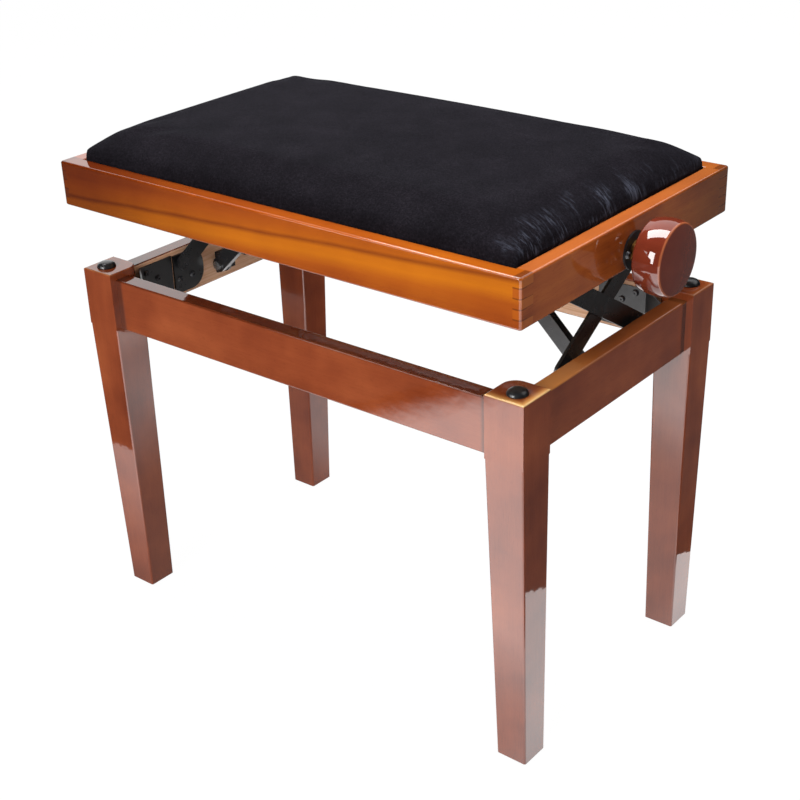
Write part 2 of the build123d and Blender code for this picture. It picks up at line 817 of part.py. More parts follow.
with BuildPart() as right_rail:
    add(end_rail.part)
    with Locations(facing(half_length + cut_overrun, 0, spindle_z, (1, 0, 0))):
        Hole(bush_radius, rail_thickness + 2 * cut_overrun)
    screw_holes([plane.offset(-escutcheon_thickness) for plane in escutcheon_screws])
hand_over(right_rail, "right_seat_rail")

with BuildPart() as left_rail:
    add(plain_left_rail.part)
    with Locations(facing(-inner_x, 0, spindle_z, (1, 0, 0))):
        Hole(bush_radius, bush_depth)
hand_over(left_rail, "left_seat_rail")

with BuildPart() as rear_region:
    with Locations((0, tongue_y, rail_bottom + rail_height / 2)):
        Box(seat_length, rail_thickness, rail_height)

with BuildPart() as rear_rail:
    add(seat_ring.part)
    add(rear_region.part, mode=Mode.INTERSECT)
    add(end_region.part, mode=Mode.SUBTRACT)
    add(mirrored(end_region, Plane.YZ).part, mode=Mode.SUBTRACT)
rear_and_front(rear_rail, "seat_rail")

# Wooden battens, ledges and corner blocks under the seat board
block_inner_y = inner_y - corner_block_leg
batten_length = block_inner_y - batten_end_gap - batten_gap / 2
with BuildPart() as end_battens:
    for side in (-1, 1):
        batten_y = side * (batten_gap + batten_length) / 2
        with Locations((inner_x - batten_width / 2, batten_y, batten_bottom + batten_height / 2)):
            Box(batten_width, batten_length, batten_height)
    screw_holes([plane.offset(-plate_thickness) for plane in upper_screws])
    mirror(about=Plane.YZ)
hand_over(end_battens, "end_battens")

with BuildPart() as ledges:
    with BuildSketch(Plane.XY.offset(board_bottom - ledge_height)):
        with Locations((0, inner_y - ledge_width / 2)):
            Rectangle(2 * (inner_x - corner_block_leg), ledge_width)
    extrude(amount=ledge_height)
    mirror(about=Plane.XZ)
hand_over(ledges, "seat_ledges")

with BuildPart() as corner_blocks:
    with BuildSketch(Plane.XY.offset(rail_bottom)):
        with BuildLine():
            Polyline(
                (inner_x, inner_y),
                (inner_x - corner_block_leg, inner_y),
                (inner_x, inner_y - corner_block_leg),
                close=True,
            )
        make_face()
    extrude(amount=board_bottom - rail_bottom)
    mirror(about=Plane.XZ)
    mirror(about=Plane.YZ)
hand_over(corner_blocks, "seat_corner_blocks")

# Seat board and the padding on it
board_x = inner_x - board_clearance
board_y = inner_y - board_clearance
with BuildPart() as seat_board:
    with BuildSketch(Plane.XY.offset(board_bottom)):
        Rectangle(2 * board_x, 2 * board_y)
    extrude(amount=board_thickness)
hand_over(seat_board, "seat_board")


def cover_section(x, swell):
    """The cover's outline across the seat at one place along it: flat below, upright sides,
    a rounded shoulder and a shallow crown. The swell runs from 0 at an end to 1."""
    side_top = board_top + cover_side
    shoulder = side_top + swell * cover_shoulder_rise
    crown = shoulder + swell * cover_crown_rise
    shoulder_y = board_y - cover_shoulder_width
    bend_y = shoulder_y + diagonal_share * cover_shoulder_width
    bend_z = side_top + diagonal_share * swell * cover_shoulder_rise
    with BuildSketch(side_plane(x)) as section:
        with BuildLine():
            Polyline((-board_y, side_top), (-board_y, board_top), (board_y, board_top), (board_y, side_top))
            ThreePointArc((board_y, side_top), (bend_y, bend_z), (shoulder_y, shoulder))
            ThreePointArc((shoulder_y, shoulder), (0, crown), (-shoulder_y, shoulder))
            ThreePointArc((-shoulder_y, shoulder), (-bend_y, bend_z), (-board_y, side_top))
        make_face()
    return section.sketch


end_angle_shares = (0.10, 0.25, 0.45, 0.70, 1.0)
first = radians(90 * end_angle_shares[0])
with BuildPart() as seat_cover:
    end_stations = []
    for share in end_angle_shares:
        angle = radians(90 * share)
        reach = cover_shoulder_width * (cos(first) - cos(angle)) / cos(first)
        end_stations.append((board_x - reach, sin(angle)))
    stations = [(-x, swell) for x, swell in end_stations]
    stations += [(x, swell) for x, swell in reversed(end_stations)]
    loft([cover_section(x, swell) for x, swell in stations], ruled=True)
    with Locations((0, 0, board_top)):
        Box(
            2 * (board_x - foam_inset),
            2 * (board_y - foam_inset),
            foam_height,
            align=(Align.CENTER, Align.CENTER, Align.MIN),
            mode=Mode.SUBTRACT,
        )
hand_over(seat_cover, "seat_cover")

with BuildPart() as seat_foam:
    with Locations((0, 0, board_top)):
        Box(
            2 * (board_x - foam_inset),
            2 * (board_y - foam_inset),
            foam_height,
            align=(Align.CENTER, Align.CENTER, Align.MIN),
        )
    fillet(seat_foam.faces().sort_by(Axis.Z)[-1].edges(), foam_radius)
hand_over(seat_foam, "seat_foam")

# Bearing bushes, the escutcheon and the collars that hold the spindle endways
with BuildPart() as right_bush:
    with Locations(side_plane(inner_x, 0, spindle_z)):
        Cylinder(
            bush_radius,
            rail_thickness + escutcheon_thickness + bush_stand,
            align=(Align.CENTER, Align.CENTER, Align.MIN),
        )
        Cylinder(
            bush_flange_radius,
            bush_flange_thickness,
            align=(Align.CENTER, Align.CENTER, Align.MAX),
        )
    with Locations(side_plane(inner_x, 0, spindle_z)):
        Cylinder(spindle_radius + running_clearance, 4 * rail_thickness, mode=Mode.SUBTRACT)
hand_over(right_bush, "right_spindle_bush")

with BuildPart() as left_bush:
    with Locations(side_plane(-inner_x, 0, spindle_z)):
        Cylinder(bush_radius, bush_depth, align=(Align.CENTER, Align.CENTER, Align.MAX))
        Cylinder(
            bush_flange_radius,
            bush_flange_thickness,
            align=(Align.CENTER, Align.CENTER, Align.MIN),
        )
        Cylinder(spindle_radius + running_clearance, 4 * rail_thickness, mode=Mode.SUBTRACT)
hand_over(left_bush, "left_spindle_bush")

with BuildPart() as escutcheon:
    with BuildSketch(side_plane(half_length, 0, spindle_z)):
        Circle(escutcheon_radius)
        Circle(bush_radius, mode=Mode.SUBTRACT)
    extrude(amount=escutcheon_thickness)
    screw_holes(escutcheon_screws, cut_overrun)
hand_over(escutcheon, "escutcheon")
seat_screws = screws(both_ends(upper_screws) + escutcheon_screws)
hand_over(seat_screws, "seat_screws")

spindle_left = -inner_x - bush_depth + spindle_end_gap
collar_x = inner_x - bush_flange_thickness - collar_gap
with BuildPart() as collars:
    with Locations(side_plane(collar_x, 0, spindle_z)):
        Cylinder(collar_radius, collar_length, align=(Align.CENTER, Align.CENTER, Align.MAX))
        Cylinder(spindle_radius, 4 * collar_length, mode=Mode.SUBTRACT)
    mirror(about=Plane.YZ)
hand_over(collars, "spindle_collars")

# Spindle, turned down where the knob sits on it
with BuildPart() as spindle:
    with Locations(side_plane(spindle_left, 0, spindle_z)):
        Cylinder(
            spindle_radius,
            knob_back - knob_hub_length - spindle_left,
            align=(Align.CENTER, Align.CENTER, Align.MIN),
        )
    with Locations(side_plane(knob_back - knob_hub_length, 0, spindle_z)):
        Cylinder(
            spindle_end_radius,
            knob_hub_length + knob_bore_depth,
            align=(Align.CENTER, Align.CENTER, Align.MIN),
        )
hand_over(spindle, "spindle")

# Knob: turned wood, with a bulged side, rounded rims and a slightly domed face
knob_plane = Plane(origin=(knob_back, 0, spindle_z), x_dir=(1, 0, 0), z_dir=(0, -1, 0))
edge_radius = knob_radius - knob_bulge
face_place = knob_length - knob_face_dome
rim_low = knob_rim_radius * (1 - diagonal_share)
back_low = knob_back_radius * (1 - diagonal_share)
back_edge = edge_radius - knob_back_radius
face_edge = edge_radius - knob_rim_radius
dome_radius = (face_edge**2 + knob_face_dome**2) / (2 * knob_face_dome)
dome_centre = knob_length - dome_radius
dome_angle = asin(face_edge / dome_radius)
with BuildPart() as knob:
    with BuildSketch(knob_plane):
        with BuildLine():
            Polyline(
                (knob_length, 0),
                (knob_bore_depth, 0),
                (knob_bore_depth, spindle_end_radius),
                (-knob_hub_length, spindle_end_radius),
                (-knob_hub_length, knob_hub_radius),
                (0, knob_hub_radius),
                (0, back_edge),
            )
            ThreePointArc(
                (0, back_edge),
                (back_low, edge_radius - back_low),
                (knob_back_radius, edge_radius),
            )
            ThreePointArc(
                (knob_back_radius, edge_radius),
                ((knob_back_radius + face_place - knob_rim_radius) / 2, knob_radius),
                (face_place - knob_rim_radius, edge_radius),
            )
            ThreePointArc(
                (face_place - knob_rim_radius, edge_radius),
                (face_place - rim_low, edge_radius - rim_low),
                (face_place, face_edge),
            )
            ThreePointArc(
                (face_place, face_edge),
                (dome_centre + dome_radius * cos(dome_angle / 2), dome_radius * sin(dome_angle / 2)),
                (knob_length, 0),
            )
        make_face()
    revolve(axis=Axis((knob_back, 0, spindle_z), (1, 0, 0)))
    with Locations(facing(knob_back + set_screw_place, 0, spindle_z - knob_radius, (0, 0, -1))):
        Hole(set_screw_radius, knob_radius - spindle_end_radius / 2)
hand_over(knob, "knob")

with BuildPart() as set_screw:
    with Locations(facing(knob_back + set_screw_place, 0, spindle_z - spindle_end_radius, (0, 0, -1))):
        Cylinder(set_screw_radius, set_screw_length, align=(Align.CENTER, Align.CENTER, Align.MIN))
hand_over(set_screw, "knob_set_screw")

print("rest angle", round(degrees(rest_angle), 3), "low", round(degrees(low_angle), 3))
print("high", round(degrees(high_angle), 3), "strut span", round(strut_span, 3))
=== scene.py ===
from math import cos, pi, radians, sin

import bmesh
import bpy
from mathutils import Matrix, Vector


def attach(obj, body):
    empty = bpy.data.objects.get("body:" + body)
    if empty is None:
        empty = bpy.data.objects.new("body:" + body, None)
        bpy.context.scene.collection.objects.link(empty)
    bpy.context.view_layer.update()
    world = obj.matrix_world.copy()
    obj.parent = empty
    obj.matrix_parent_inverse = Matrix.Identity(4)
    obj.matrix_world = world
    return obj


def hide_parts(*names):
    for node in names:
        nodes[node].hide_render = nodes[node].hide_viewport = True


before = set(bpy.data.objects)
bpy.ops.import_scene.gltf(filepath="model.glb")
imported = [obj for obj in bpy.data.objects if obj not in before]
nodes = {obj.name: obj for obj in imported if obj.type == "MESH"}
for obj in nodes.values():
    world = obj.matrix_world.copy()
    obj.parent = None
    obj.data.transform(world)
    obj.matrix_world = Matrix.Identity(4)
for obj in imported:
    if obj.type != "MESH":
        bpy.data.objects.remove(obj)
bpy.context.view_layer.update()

# Legs. Beech posts, square between the aprons and tapered below, stained red-brown and sprayed
# with a clear polyester lacquer that is buffed to a mirror. A pale golden band round the outer
# edges of each top is a painted highlight.
mm = 0.001
seat_middle_x = -22.5 * mm
base_half_length = 272 * mm
base_half_depth = 161 * mm
leg_top = 382 * mm
leg_square = 40 * mm


def linear(hex_colour):
    """The linear RGBA of an sRGB hex colour."""
    parts = [int(hex_colour[i : i + 2], 16) / 255 for i in (0, 2, 4)]
    return [p / 12.92 if p <= 0.04045 else ((p + 0.055) / 1.055) ** 2.4 for p in parts] + [1.0]


def add_node(tree, kind, settings=(), links=()):
    """Add a shader node. Settings are its properties or its sockets' values, by name or by
    number, and links are the sockets that feed it."""
    made = tree.nodes.new("ShaderNode" + kind)
    for key, value in dict(settings).items():
        if isinstance(key, str) and hasattr(made, key):
            setattr(made, key, value)
        else:
            made.inputs[key].default_value = value
    for key, source in dict(links).items():
        tree.links.new(source, made.inputs[key])
    return made


def new_finish(name):
    """A named material, with its node tree and its shader."""
    made = bpy.data.materials.new(name)
    made.use_nodes = True
    return made, made.node_tree, made.node_tree.nodes["Principled BSDF"]


def set_ramp(node, stops):
    """Give a colour ramp its stops: places, each with an sRGB hex colour or a grey level."""
    ramp = node.color_ramp
    while len(ramp.elements) < len(stops):
        ramp.elements.new(0.5)
    for element, (place, tone) in zip(ramp.elements, stops):
        element.position = place
        element.color = linear(tone) if isinstance(tone, str) else (tone, tone, tone, 1.0)


def streaks(tree, place, grain, shrink, width, settings):
    """Noise in streaks of one width, drawn out along the grain by 1 / shrink."""
    stretch = [1.0, 1.0, 1.0]
    stretch["XYZ".index(grain)] = shrink
    at = add_node(tree, "Mapping", {"Scale": stretch}, {"Vector": place.outputs["Object"]})
    noise = add_node(tree, "TexNoise", {"Scale": 1 / width, **settings}, {"Vector": at.outputs[0]})
    return noise.outputs["Fac"]


def lacquered_beech(name, grain, tones, figure_width, band_share, fleck_share):
    """Stained beech under clear lacquer. The grain runs along one axis. The tones go from the
    darkest to the lightest band, and figure_width is the width of a band in metres."""
    made, tree, shader = new_finish(name)
    place = add_node(tree, "TexCoord")
    bands = streaks(
        tree, place, grain, 0.07, figure_width,
        {"Detail": 4.0, "Roughness": 0.55, "Distortion": 0.35},
    )
    # Fibres are about 0.8 mm wide here; the real ones are finer than the picture can show.
    fibres = streaks(tree, place, grain, 0.03, 0.8 * mm, {"Detail": 2.0, "Roughness": 0.6})
    # Beech has short dark flecks, about 0.5 mm wide and 3 mm long.
    flecks = streaks(tree, place, grain, 0.16, 0.9 * mm, {"Detail": 0.0})
    # The stain takes unevenly, in soft clouds about 60 mm across.
    clouds = add_node(
        tree, "TexNoise", {"Scale": 1 / (60 * mm), "Detail": 2.0},
        {"Vector": place.outputs["Object"]},
    )
    # Half of each share is taken off again, so that the middle tone stays where it is.
    fibre_share = 0.12
    cloud_share = 0.55
    tone = add_node(
        tree, "Math", {"operation": "MULTIPLY_ADD", 1: band_share, 2: 0.5 - band_share / 2},
        {0: bands},
    )
    for pattern, pattern_share in ((fibres, fibre_share), (clouds.outputs["Fac"], cloud_share)):
        tone = add_node(
            tree, "Math", {"operation": "MULTIPLY_ADD", 1: pattern_share},
            {0: pattern, 2: tone.outputs["Value"]},
        )
    tone = add_node(
        tree, "Math", {"operation": "SUBTRACT", 1: (fibre_share + cloud_share) / 2},
        {0: tone.outputs["Value"]},
    )
    stain = add_node(tree, "ValToRGB", {}, {"Fac": tone.outputs["Value"]})
    set_ramp(stain, [(0.30, tones[0]), (0.50, tones[1]), (0.70, tones[2])])
    fleck_mask = add_node(tree, "ValToRGB", {}, {"Fac": flecks})
    set_ramp(fleck_mask, [(0.28, 1.0), (0.36, 0.0)])
    fleck_strength = add_node(
        tree, "Math", {"operation": "MULTIPLY", 1: fleck_share}, {0: fleck_mask.outputs["Color"]}
    )
    wood = add_node(
        tree, "Mix", {"data_type": "RGBA", "blend_type": "MULTIPLY", 7: linear("6b3a26")},
        {0: fleck_strength.outputs["Value"], 6: stain.outputs["Color"]},
    )
    tree.links.new(wood.outputs[2], shader.inputs["Base Color"])
    grain_relief = add_node(
        tree, "Bump", {"Strength": 0.08, "Distance": 0.2 * mm}, {"Height": fibres}
    )
    tree.links.new(grain_relief.outputs["Normal"], shader.inputs["Normal"])
    # The sprayed coat has a faint orange peel, drawn about 9 mm across.
    peel = add_node(
        tree, "TexNoise", {"Scale": 1 / (9 * mm), "Detail": 1.0},
        {"Vector": place.outputs["Object"]},
    )
    peel_relief = add_node(
        tree, "Bump", {"Strength": 0.10, "Distance": 0.4 * mm}, {"Height": peel.outputs["Fac"]}
    )
    tree.links.new(peel_relief.outputs["Normal"], shader.inputs["Coat Normal"])
    # Wood under lacquer has no gloss of its own: the coat does the reflecting.
    shader.inputs["Roughness"].default_value = 0.45
    shader.inputs["IOR"].default_value = 1.5
    shader.inputs["Specular IOR Level"].default_value = 0.0
    shader.inputs["Coat Weight"].default_value = 1.0
    shader.inputs["Coat Roughness"].default_value = 0.04
    shader.inputs["Coat IOR"].default_value = 1.57
    return made, tree, shader, wood


def dress(node_name, finish):
    """Give a CAD node one finish all over."""
    node = nodes[node_name]
    node.data.materials.clear()
    node.data.materials.append(finish)


red_brown = ("642813", "823c1f", "984d2a")
leg_finish, tree, shader, wood = lacquered_beech(
    "red_brown_lacquered_beech_upright", "Z", red_brown, 34 * mm, 0.35, 0.10
)
# A painted highlight on each leg top: a pale golden band round its outer edges.
highlight_width = 12 * mm
rim_outside = 1 * mm
place = add_node(tree, "TexCoord")
axes = add_node(tree, "SeparateXYZ", {}, {0: place.outputs["Object"]})
from_middle = add_node(
    tree, "Math", {"operation": "SUBTRACT", 1: seat_middle_x}, {0: axes.outputs["X"]}
)
along = add_node(tree, "Math", {"operation": "ABSOLUTE"}, {0: from_middle.outputs[0]})
across = add_node(tree, "Math", {"operation": "ABSOLUTE"}, {0: axes.outputs["Y"]})
end_gap = add_node(
    tree, "Math", {"operation": "SUBTRACT", 0: base_half_length}, {1: along.outputs[0]}
)
side_gap = add_node(
    tree, "Math", {"operation": "SUBTRACT", 0: base_half_depth}, {1: across.outputs[0]}
)
gap = add_node(
    tree, "Math", {"operation": "MINIMUM"}, {0: end_gap.outputs[0], 1: side_gap.outputs[0]}
)
highlight_rim = add_node(
    tree,
    "MapRange",
    {
        "interpolation_type": "SMOOTHSTEP",
        1: rim_outside,
        2: rim_outside + highlight_width,
        3: 1.0,
        4: 0.0,
    },
    {0: gap.outputs[0]},
)
rim_place = add_node(tree, "MapRange", {1: 0.0, 2: highlight_width}, {0: gap.outputs[0]})
highlight_tone = add_node(tree, "ValToRGB", {}, {"Fac": rim_place.outputs[0]})
set_ramp(highlight_tone, [(0.0, "f6cd8a"), (0.22, "dc9c56"), (0.60, "a8622e")])
# The painted highlight is strongest at the front right corner, where X less Y is largest.
corner_place = add_node(
    tree, "Math", {"operation": "SUBTRACT"}, {0: axes.outputs["X"], 1: axes.outputs["Y"]}
)
highlight_corner = add_node(
    tree, "MapRange", {1: 250 * mm, 2: 405 * mm, 3: 0.10, 4: 0.95}, {0: corner_place.outputs[0]}
)
highlight_rim = add_node(
    tree, "Math", {"operation": "MULTIPLY"}, {0: highlight_rim.outputs[0], 1: highlight_corner.outputs[0]}
)
on_top = add_node(
    tree,
    "MapRange",
    {"interpolation_type": "SMOOTHSTEP", 1: leg_top - 1.6 * mm, 2: leg_top - 0.2 * mm},
    {0: axes.outputs["Z"]},
)
wear_and_painted_highlight = add_node(
    tree, "Math", {"operation": "MULTIPLY"}, {0: highlight_rim.outputs[0], 1: on_top.outputs[0]}
)
leg_wood = add_node(
    tree, "Mix", {"data_type": "RGBA"},
    {0: wear_and_painted_highlight.outputs[0], 6: wood.outputs[2], 7: highlight_tone.outputs["Color"]},
)
tree.links.new(leg_wood.outputs[2], shader.inputs["Base Color"])
corners = ("rear_right_", "front_right_", "rear_left_", "front_left_")
for corner in corners:
    dress(corner + "leg", leg_finish)

# Aprons. Beech boards butted between the legs, stained and lacquered like them outside and on
# their edges, and left raw on the inner face, where the steelwork is screwed on.
apron_top = 375 * mm
apron_half_length = base_half_length - leg_square
apron_half_depth = base_half_depth - leg_square


def apron_finish(name, grain, inner_axis, sign, middle, half_span, painted_top_colour, painted_top_share):
    """Lacquered beech whose face towards the middle of the stool is raw, with a dark seam widened
    into painted shade where it meets the legs, and painted light and shade on its top."""
    made, tree, shader, wood = lacquered_beech(name, grain, red_brown, 40 * mm, 0.30, 0.10)
    place = add_node(tree, "TexCoord")
    axes = add_node(tree, "SeparateXYZ", {}, {0: place.outputs["Object"]})
    offset = add_node(tree, "Math", {"operation": "SUBTRACT", 1: middle}, {0: axes.outputs[grain]})
    reach = add_node(tree, "Math", {"operation": "ABSOLUTE"}, {0: offset.outputs[0]})
    # Towards each leg the wood darkens over its last 10 mm: a dark seam widened into painted shade.
    seam_and_painted_shade = add_node(
        tree,
        "MapRange",
        {
            "interpolation_type": "SMOOTHSTEP",
            1: half_span - 10 * mm,
            2: half_span - 5 * mm,
            3: 0.0,
            4: 0.7,
        },
        {0: reach.outputs[0]},
    )
    wood_with_painted_light = add_node(
        tree, "Mix", {"data_type": "RGBA", 7: linear("2c0f07")},
        {0: seam_and_painted_shade.outputs[0], 6: wood.outputs[2]},
    )
    # On top a painted highlight lightens the right apron towards the front, and painted shade
    # darkens the others' tops.
    on_top = add_node(
        tree,
        "MapRange",
        {"interpolation_type": "SMOOTHSTEP", 1: apron_top - 2.2 * mm, 2: apron_top - 0.6 * mm},
        {0: axes.outputs["Z"]},
    )
    top_light_and_shade_share = add_node(
        tree,
        "MapRange",
        {
            "interpolation_type": "SMOOTHSTEP",
            1: 0.0,
            2: -half_span,
            3: 0.2 * painted_top_share,
            4: painted_top_share,
        },
        {0: axes.outputs["Y"]},
    )
    top_light_and_shade_share = add_node(
        tree, "Math", {"operation": "MULTIPLY"}, {0: top_light_and_shade_share.outputs[0], 1: on_top.outputs[0]}
    )
    wood_with_painted_light = add_node(
        tree, "Mix", {"data_type": "RGBA", 7: linear(painted_top_colour)},
        {0: top_light_and_shade_share.outputs[0], 6: wood_with_painted_light.outputs[2]},
    )
    facing = add_node(tree, "SeparateXYZ", {}, {0: place.outputs["Normal"]})
    bare = add_node(
        tree, "MapRange", {1: 0.90 * sign, 2: 0.98 * sign, 3: 0.0, 4: 1.0},
        {0: facing.outputs[inner_axis]},
    )
    raw_fibres = streaks(tree, place, grain, 0.03, 1.5 * mm, {"Detail": 3.0})
    raw_wood = add_node(tree, "ValToRGB", {}, {"Fac": raw_fibres})
    set_ramp(raw_wood, [(0.25, "cf9f7c"), (0.50, "dfb394"), (0.75, "ebc6ab")])
    both = add_node(
        tree, "Mix", {"data_type": "RGBA"},
        {0: bare.outputs[0], 6: wood_with_painted_light.outputs[2], 7: raw_wood.outputs["Color"]},
    )
    tree.links.new(both.outputs[2], shader.inputs["Base Color"])
    coat = add_node(tree, "Math", {"operation": "SUBTRACT", 0: 1.0}, {1: bare.outputs[0]})
    tree.links.new(coat.outputs[0], shader.inputs["Coat Weight"])
    dull = add_node(tree, "MapRange", {1: 0.0, 2: 1.0, 3: 0.45, 4: 0.75}, {0: bare.outputs[0]})
    tree.links.new(dull.outputs[0], shader.inputs["Roughness"])
    return made


# Tops: painted shade on the front, rear and left aprons, a painted highlight on the right one.
painted_top_shade = ("3a160b", 0.7)
for name, grain, inner_axis, sign, middle, half_span, painted_top_tone in (
    ("front", "X", "Y", 1, seat_middle_x, apron_half_length, painted_top_shade),
    ("rear", "X", "Y", -1, seat_middle_x, apron_half_length, painted_top_shade),
    ("right", "Y", "X", -1, 0.0, apron_half_depth, ("c07c3e", 0.9)),
    ("left", "Y", "X", 1, 0.0, apron_half_depth, painted_top_shade),
):
    finish = apron_finish(
        "red_brown_lacquered_beech_" + name, grain, inner_axis, sign, middle, half_span, *painted_top_tone
    )
    dress(name + "_apron", finish)

# Foot glides. Pale polyethylene discs with a nail, moulded in one piece and knocked into the
# end grain of each leg.
leg_foot_half = 16 * mm
glide_x = base_half_length - 2 * mm - leg_foot_half
glide_y = base_half_depth - 9 * mm - leg_foot_half
glide_outline_mm = [
    (3, 0), (3, 9.6), (2.7, 10), (1.5, 10), (0.8, 9.6), (0.25, 8.7), (0, 7.6), (0, 0),
]


def put_in_scene(form, name):
    """Make an object of a finished bmesh, smooth shaded."""
    mesh = bpy.data.meshes.new(name)
    for face in form.faces:
        face.smooth = True
    form.to_mesh(mesh)
    form.free()
    piece = bpy.data.objects.new(name, mesh)
    bpy.context.scene.collection.objects.link(piece)
    return piece


def turned(name, outline_mm, steps, turn, places):
    """A mesh piece spun from an outline of (along, radius) points about its own axis, once at
    each place. The turn takes the axis, which starts as +Z, to its real direction."""
    form = bmesh.new()
    for where in places:
        line = [form.verts.new((radius * mm, 0.0, along * mm)) for along, radius in outline_mm]
        runs = [form.edges.new(pair) for pair in zip(line, line[1:])]
        bmesh.ops.spin(
            form, geom=line + runs, axis=(0, 0, 1), cent=(0, 0, 0), angle=2 * pi, steps=steps,
            use_merge=True,
        )
        fresh = [v for v in form.verts if not v.tag]
        bmesh.ops.remove_doubles(form, verts=fresh, dist=1e-6)
        fresh = [v for v in form.verts if not v.tag]
        bmesh.ops.transform(form, matrix=Matrix.Translation(where) @ turn, verts=fresh)
        for v in fresh:
            v.tag = True
    bmesh.ops.recalc_face_normals(form, faces=form.faces)
    return put_in_scene(form, name)


def speckled(name, spot, detail, low, high, roughness, metallic):
    """A finish whose tone drifts between two ramp stops in spots of one size."""
    made, tree, shader = new_finish(name)
    place = add_node(tree, "TexCoord")
    spots = add_node(
        tree, "TexNoise", {"Scale": 1 / spot, "Detail": detail}, {"Vector": place.outputs["Object"]}
    )
    tone = add_node(tree, "ValToRGB", {}, {"Fac": spots.outputs["Fac"]})
    set_ramp(tone, [low, high])
    tree.links.new(tone.outputs["Color"], shader.inputs["Base Color"])
    shader.inputs["Roughness"].default_value = roughness
    shader.inputs["Metallic"].default_value = metallic
    return made, tree, shader, spots


glide_finish = speckled(
    "pale_moulded_polyethylene", 1.2 * mm, 3.0, (0.35, "b9b2a6"), (0.6, "d8d3c8"), 0.45, 0.0
)[0]
glides = turned(
    "moulded_foot_glides",
    glide_outline_mm,
    40,
    Matrix.Identity(4),
    [(seat_middle_x + sx * glide_x, sy * glide_y, 0) for sx in (-1, 1) for sy in (-1, 1)],
)
glides.data.materials.append(glide_finish)
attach(glides, "base")
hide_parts("foot_glides")

# Rubber stops. Black moulded rubber domes, pressed into the leg tops, on which the seat's
# corners come down at the lowest height.
bumper_x = 255 * mm
bumper_y = 145 * mm
stop_outline_mm = [
    (0, 0), (0, 9.5), (0.6, 9.7), (1.3, 9.5), (2.6, 8.9), (3.8, 7.8), (4.7, 6.2), (5.2, 4.4),
    (5.5, 2.2), (5.5, 0),
]
rubber_finish = speckled(
    "black_moulded_rubber", 2.5 * mm, 3.0, (0.35, "131416"), (0.65, "232527"), 0.28, 0.0
)[0]
bumpers = turned(
    "moulded_rubber_stops",
    stop_outline_mm,
    48,
    Matrix.Identity(4),
    [
        (seat_middle_x + sx * bumper_x, sy * bumper_y, leg_top)
        for sx in (-1, 1)
        for sy in (-1, 1)
    ],
)
bumpers.data.materials.append(rubber_finish)
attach(bumpers, "base")
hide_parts("leg_bumpers")


# Steelwork. Pressed mild steel, blacked with a thin satin powder coat: the corner brackets, the
# scissor's arms and guides, and the struts.
def blacked_steel(name, tone_low, tone_high, roughness):
    """Black powder coat, with its fine orange peel and a rubbed, greyer tone here and there."""
    made, tree, shader = new_finish(name)
    place = add_node(tree, "TexCoord")
    wear = add_node(
        tree, "TexNoise", {"Scale": 1 / (9 * mm), "Detail": 5.0, "Roughness": 0.65},
        {"Vector": place.outputs["Object"]},
    )
    tone = add_node(tree, "ValToRGB", {}, {"Fac": wear.outputs["Fac"]})
    set_ramp(tone, [(0.35, tone_low), (0.70, tone_high)])
    tree.links.new(tone.outputs["Color"], shader.inputs["Base Color"])
    wear_and_painted_highlight = add_node(
        tree, "MapRange", {1: 0.3, 2: 0.7, 3: roughness + 0.08, 4: roughness - 0.06},
        {0: wear.outputs["Fac"]},
    )
    tree.links.new(wear_and_painted_highlight.outputs[0], shader.inputs["Roughness"])
    # The coat's texture is drawn at 0.7 mm, a little coarser than it is.
    peel = add_node(
        tree, "TexNoise", {"Scale": 1 / (0.7 * mm), "Detail": 2.0},
        {"Vector": place.outputs["Object"]},
    )
    relief = add_node(
        tree, "Bump", {"Strength": 0.25, "Distance": 0.05 * mm}, {"Height": peel.outputs["Fac"]}
    )
    tree.links.new(relief.outputs["Normal"], shader.inputs["Normal"])
    return made


black_steel = blacked_steel("black_powder_coated_steel", "0e0e10", "1b1b1e", 0.32)
arm_steel = blacked_steel("black_powder_coated_arm_steel", "0c0c0e", "19191c", 0.30)
for corner in corners:
    dress(corner + "corner_bracket", black_steel)
for side in ("right_", "left_"):
    dress(side + "front_lower_bracket", black_steel)
    dress(side + "rear_lower_guide", black_steel)
    dress(side + "strut_bracket", black_steel)
    dress(side + "upper_bracket", black_steel)
    dress(side + "rising_arm", arm_steel)
    dress(side + "falling_arm", arm_steel)
    dress(side + "strut", arm_steel)

# Pins and rivets. Turned steel, zinc plated bright, and worn grey where they run.
zinc_finish, tree, shader, spangle = speckled(
    "bright_zinc_plated_steel", 1.5 * mm, 4.0, (0.3, "9c9d9e"), (0.7, "c3c5c7"), 0.3, 1.0
)
zinc_gloss = add_node(
    tree, "MapRange", {1: 0.3, 2: 0.7, 3: 0.34, 4: 0.22}, {0: spangle.outputs["Fac"]}
)
tree.links.new(zinc_gloss.outputs[0], shader.inputs["Roughness"])
for name in (
    "strut_foot_pins", "hanger_bolts", "knob_set_screw", "right_strut_head_pin",
    "left_strut_head_pin",
):
    dress(name, zinc_finish)

# Screws. Pan-head wood screws, blacked. Their recesses aren't modelled.
black_screw = blacked_steel("blacked_screw_steel", "17171a", "35353a", 0.26)
dress("base_screws", black_screw)
dress("seat_screws", black_screw)
black_rivet = blacked_steel("blacked_rivet_steel", "0f0f11", "26262a", 0.30)
for name in (
    "lower_pivot_pins", "upper_pivot_pins", "right_rising_arm_pins", "left_rising_arm_pins",
    "right_falling_arm_pin", "left_falling_arm_pin",
):
    dress(name, black_rivet)

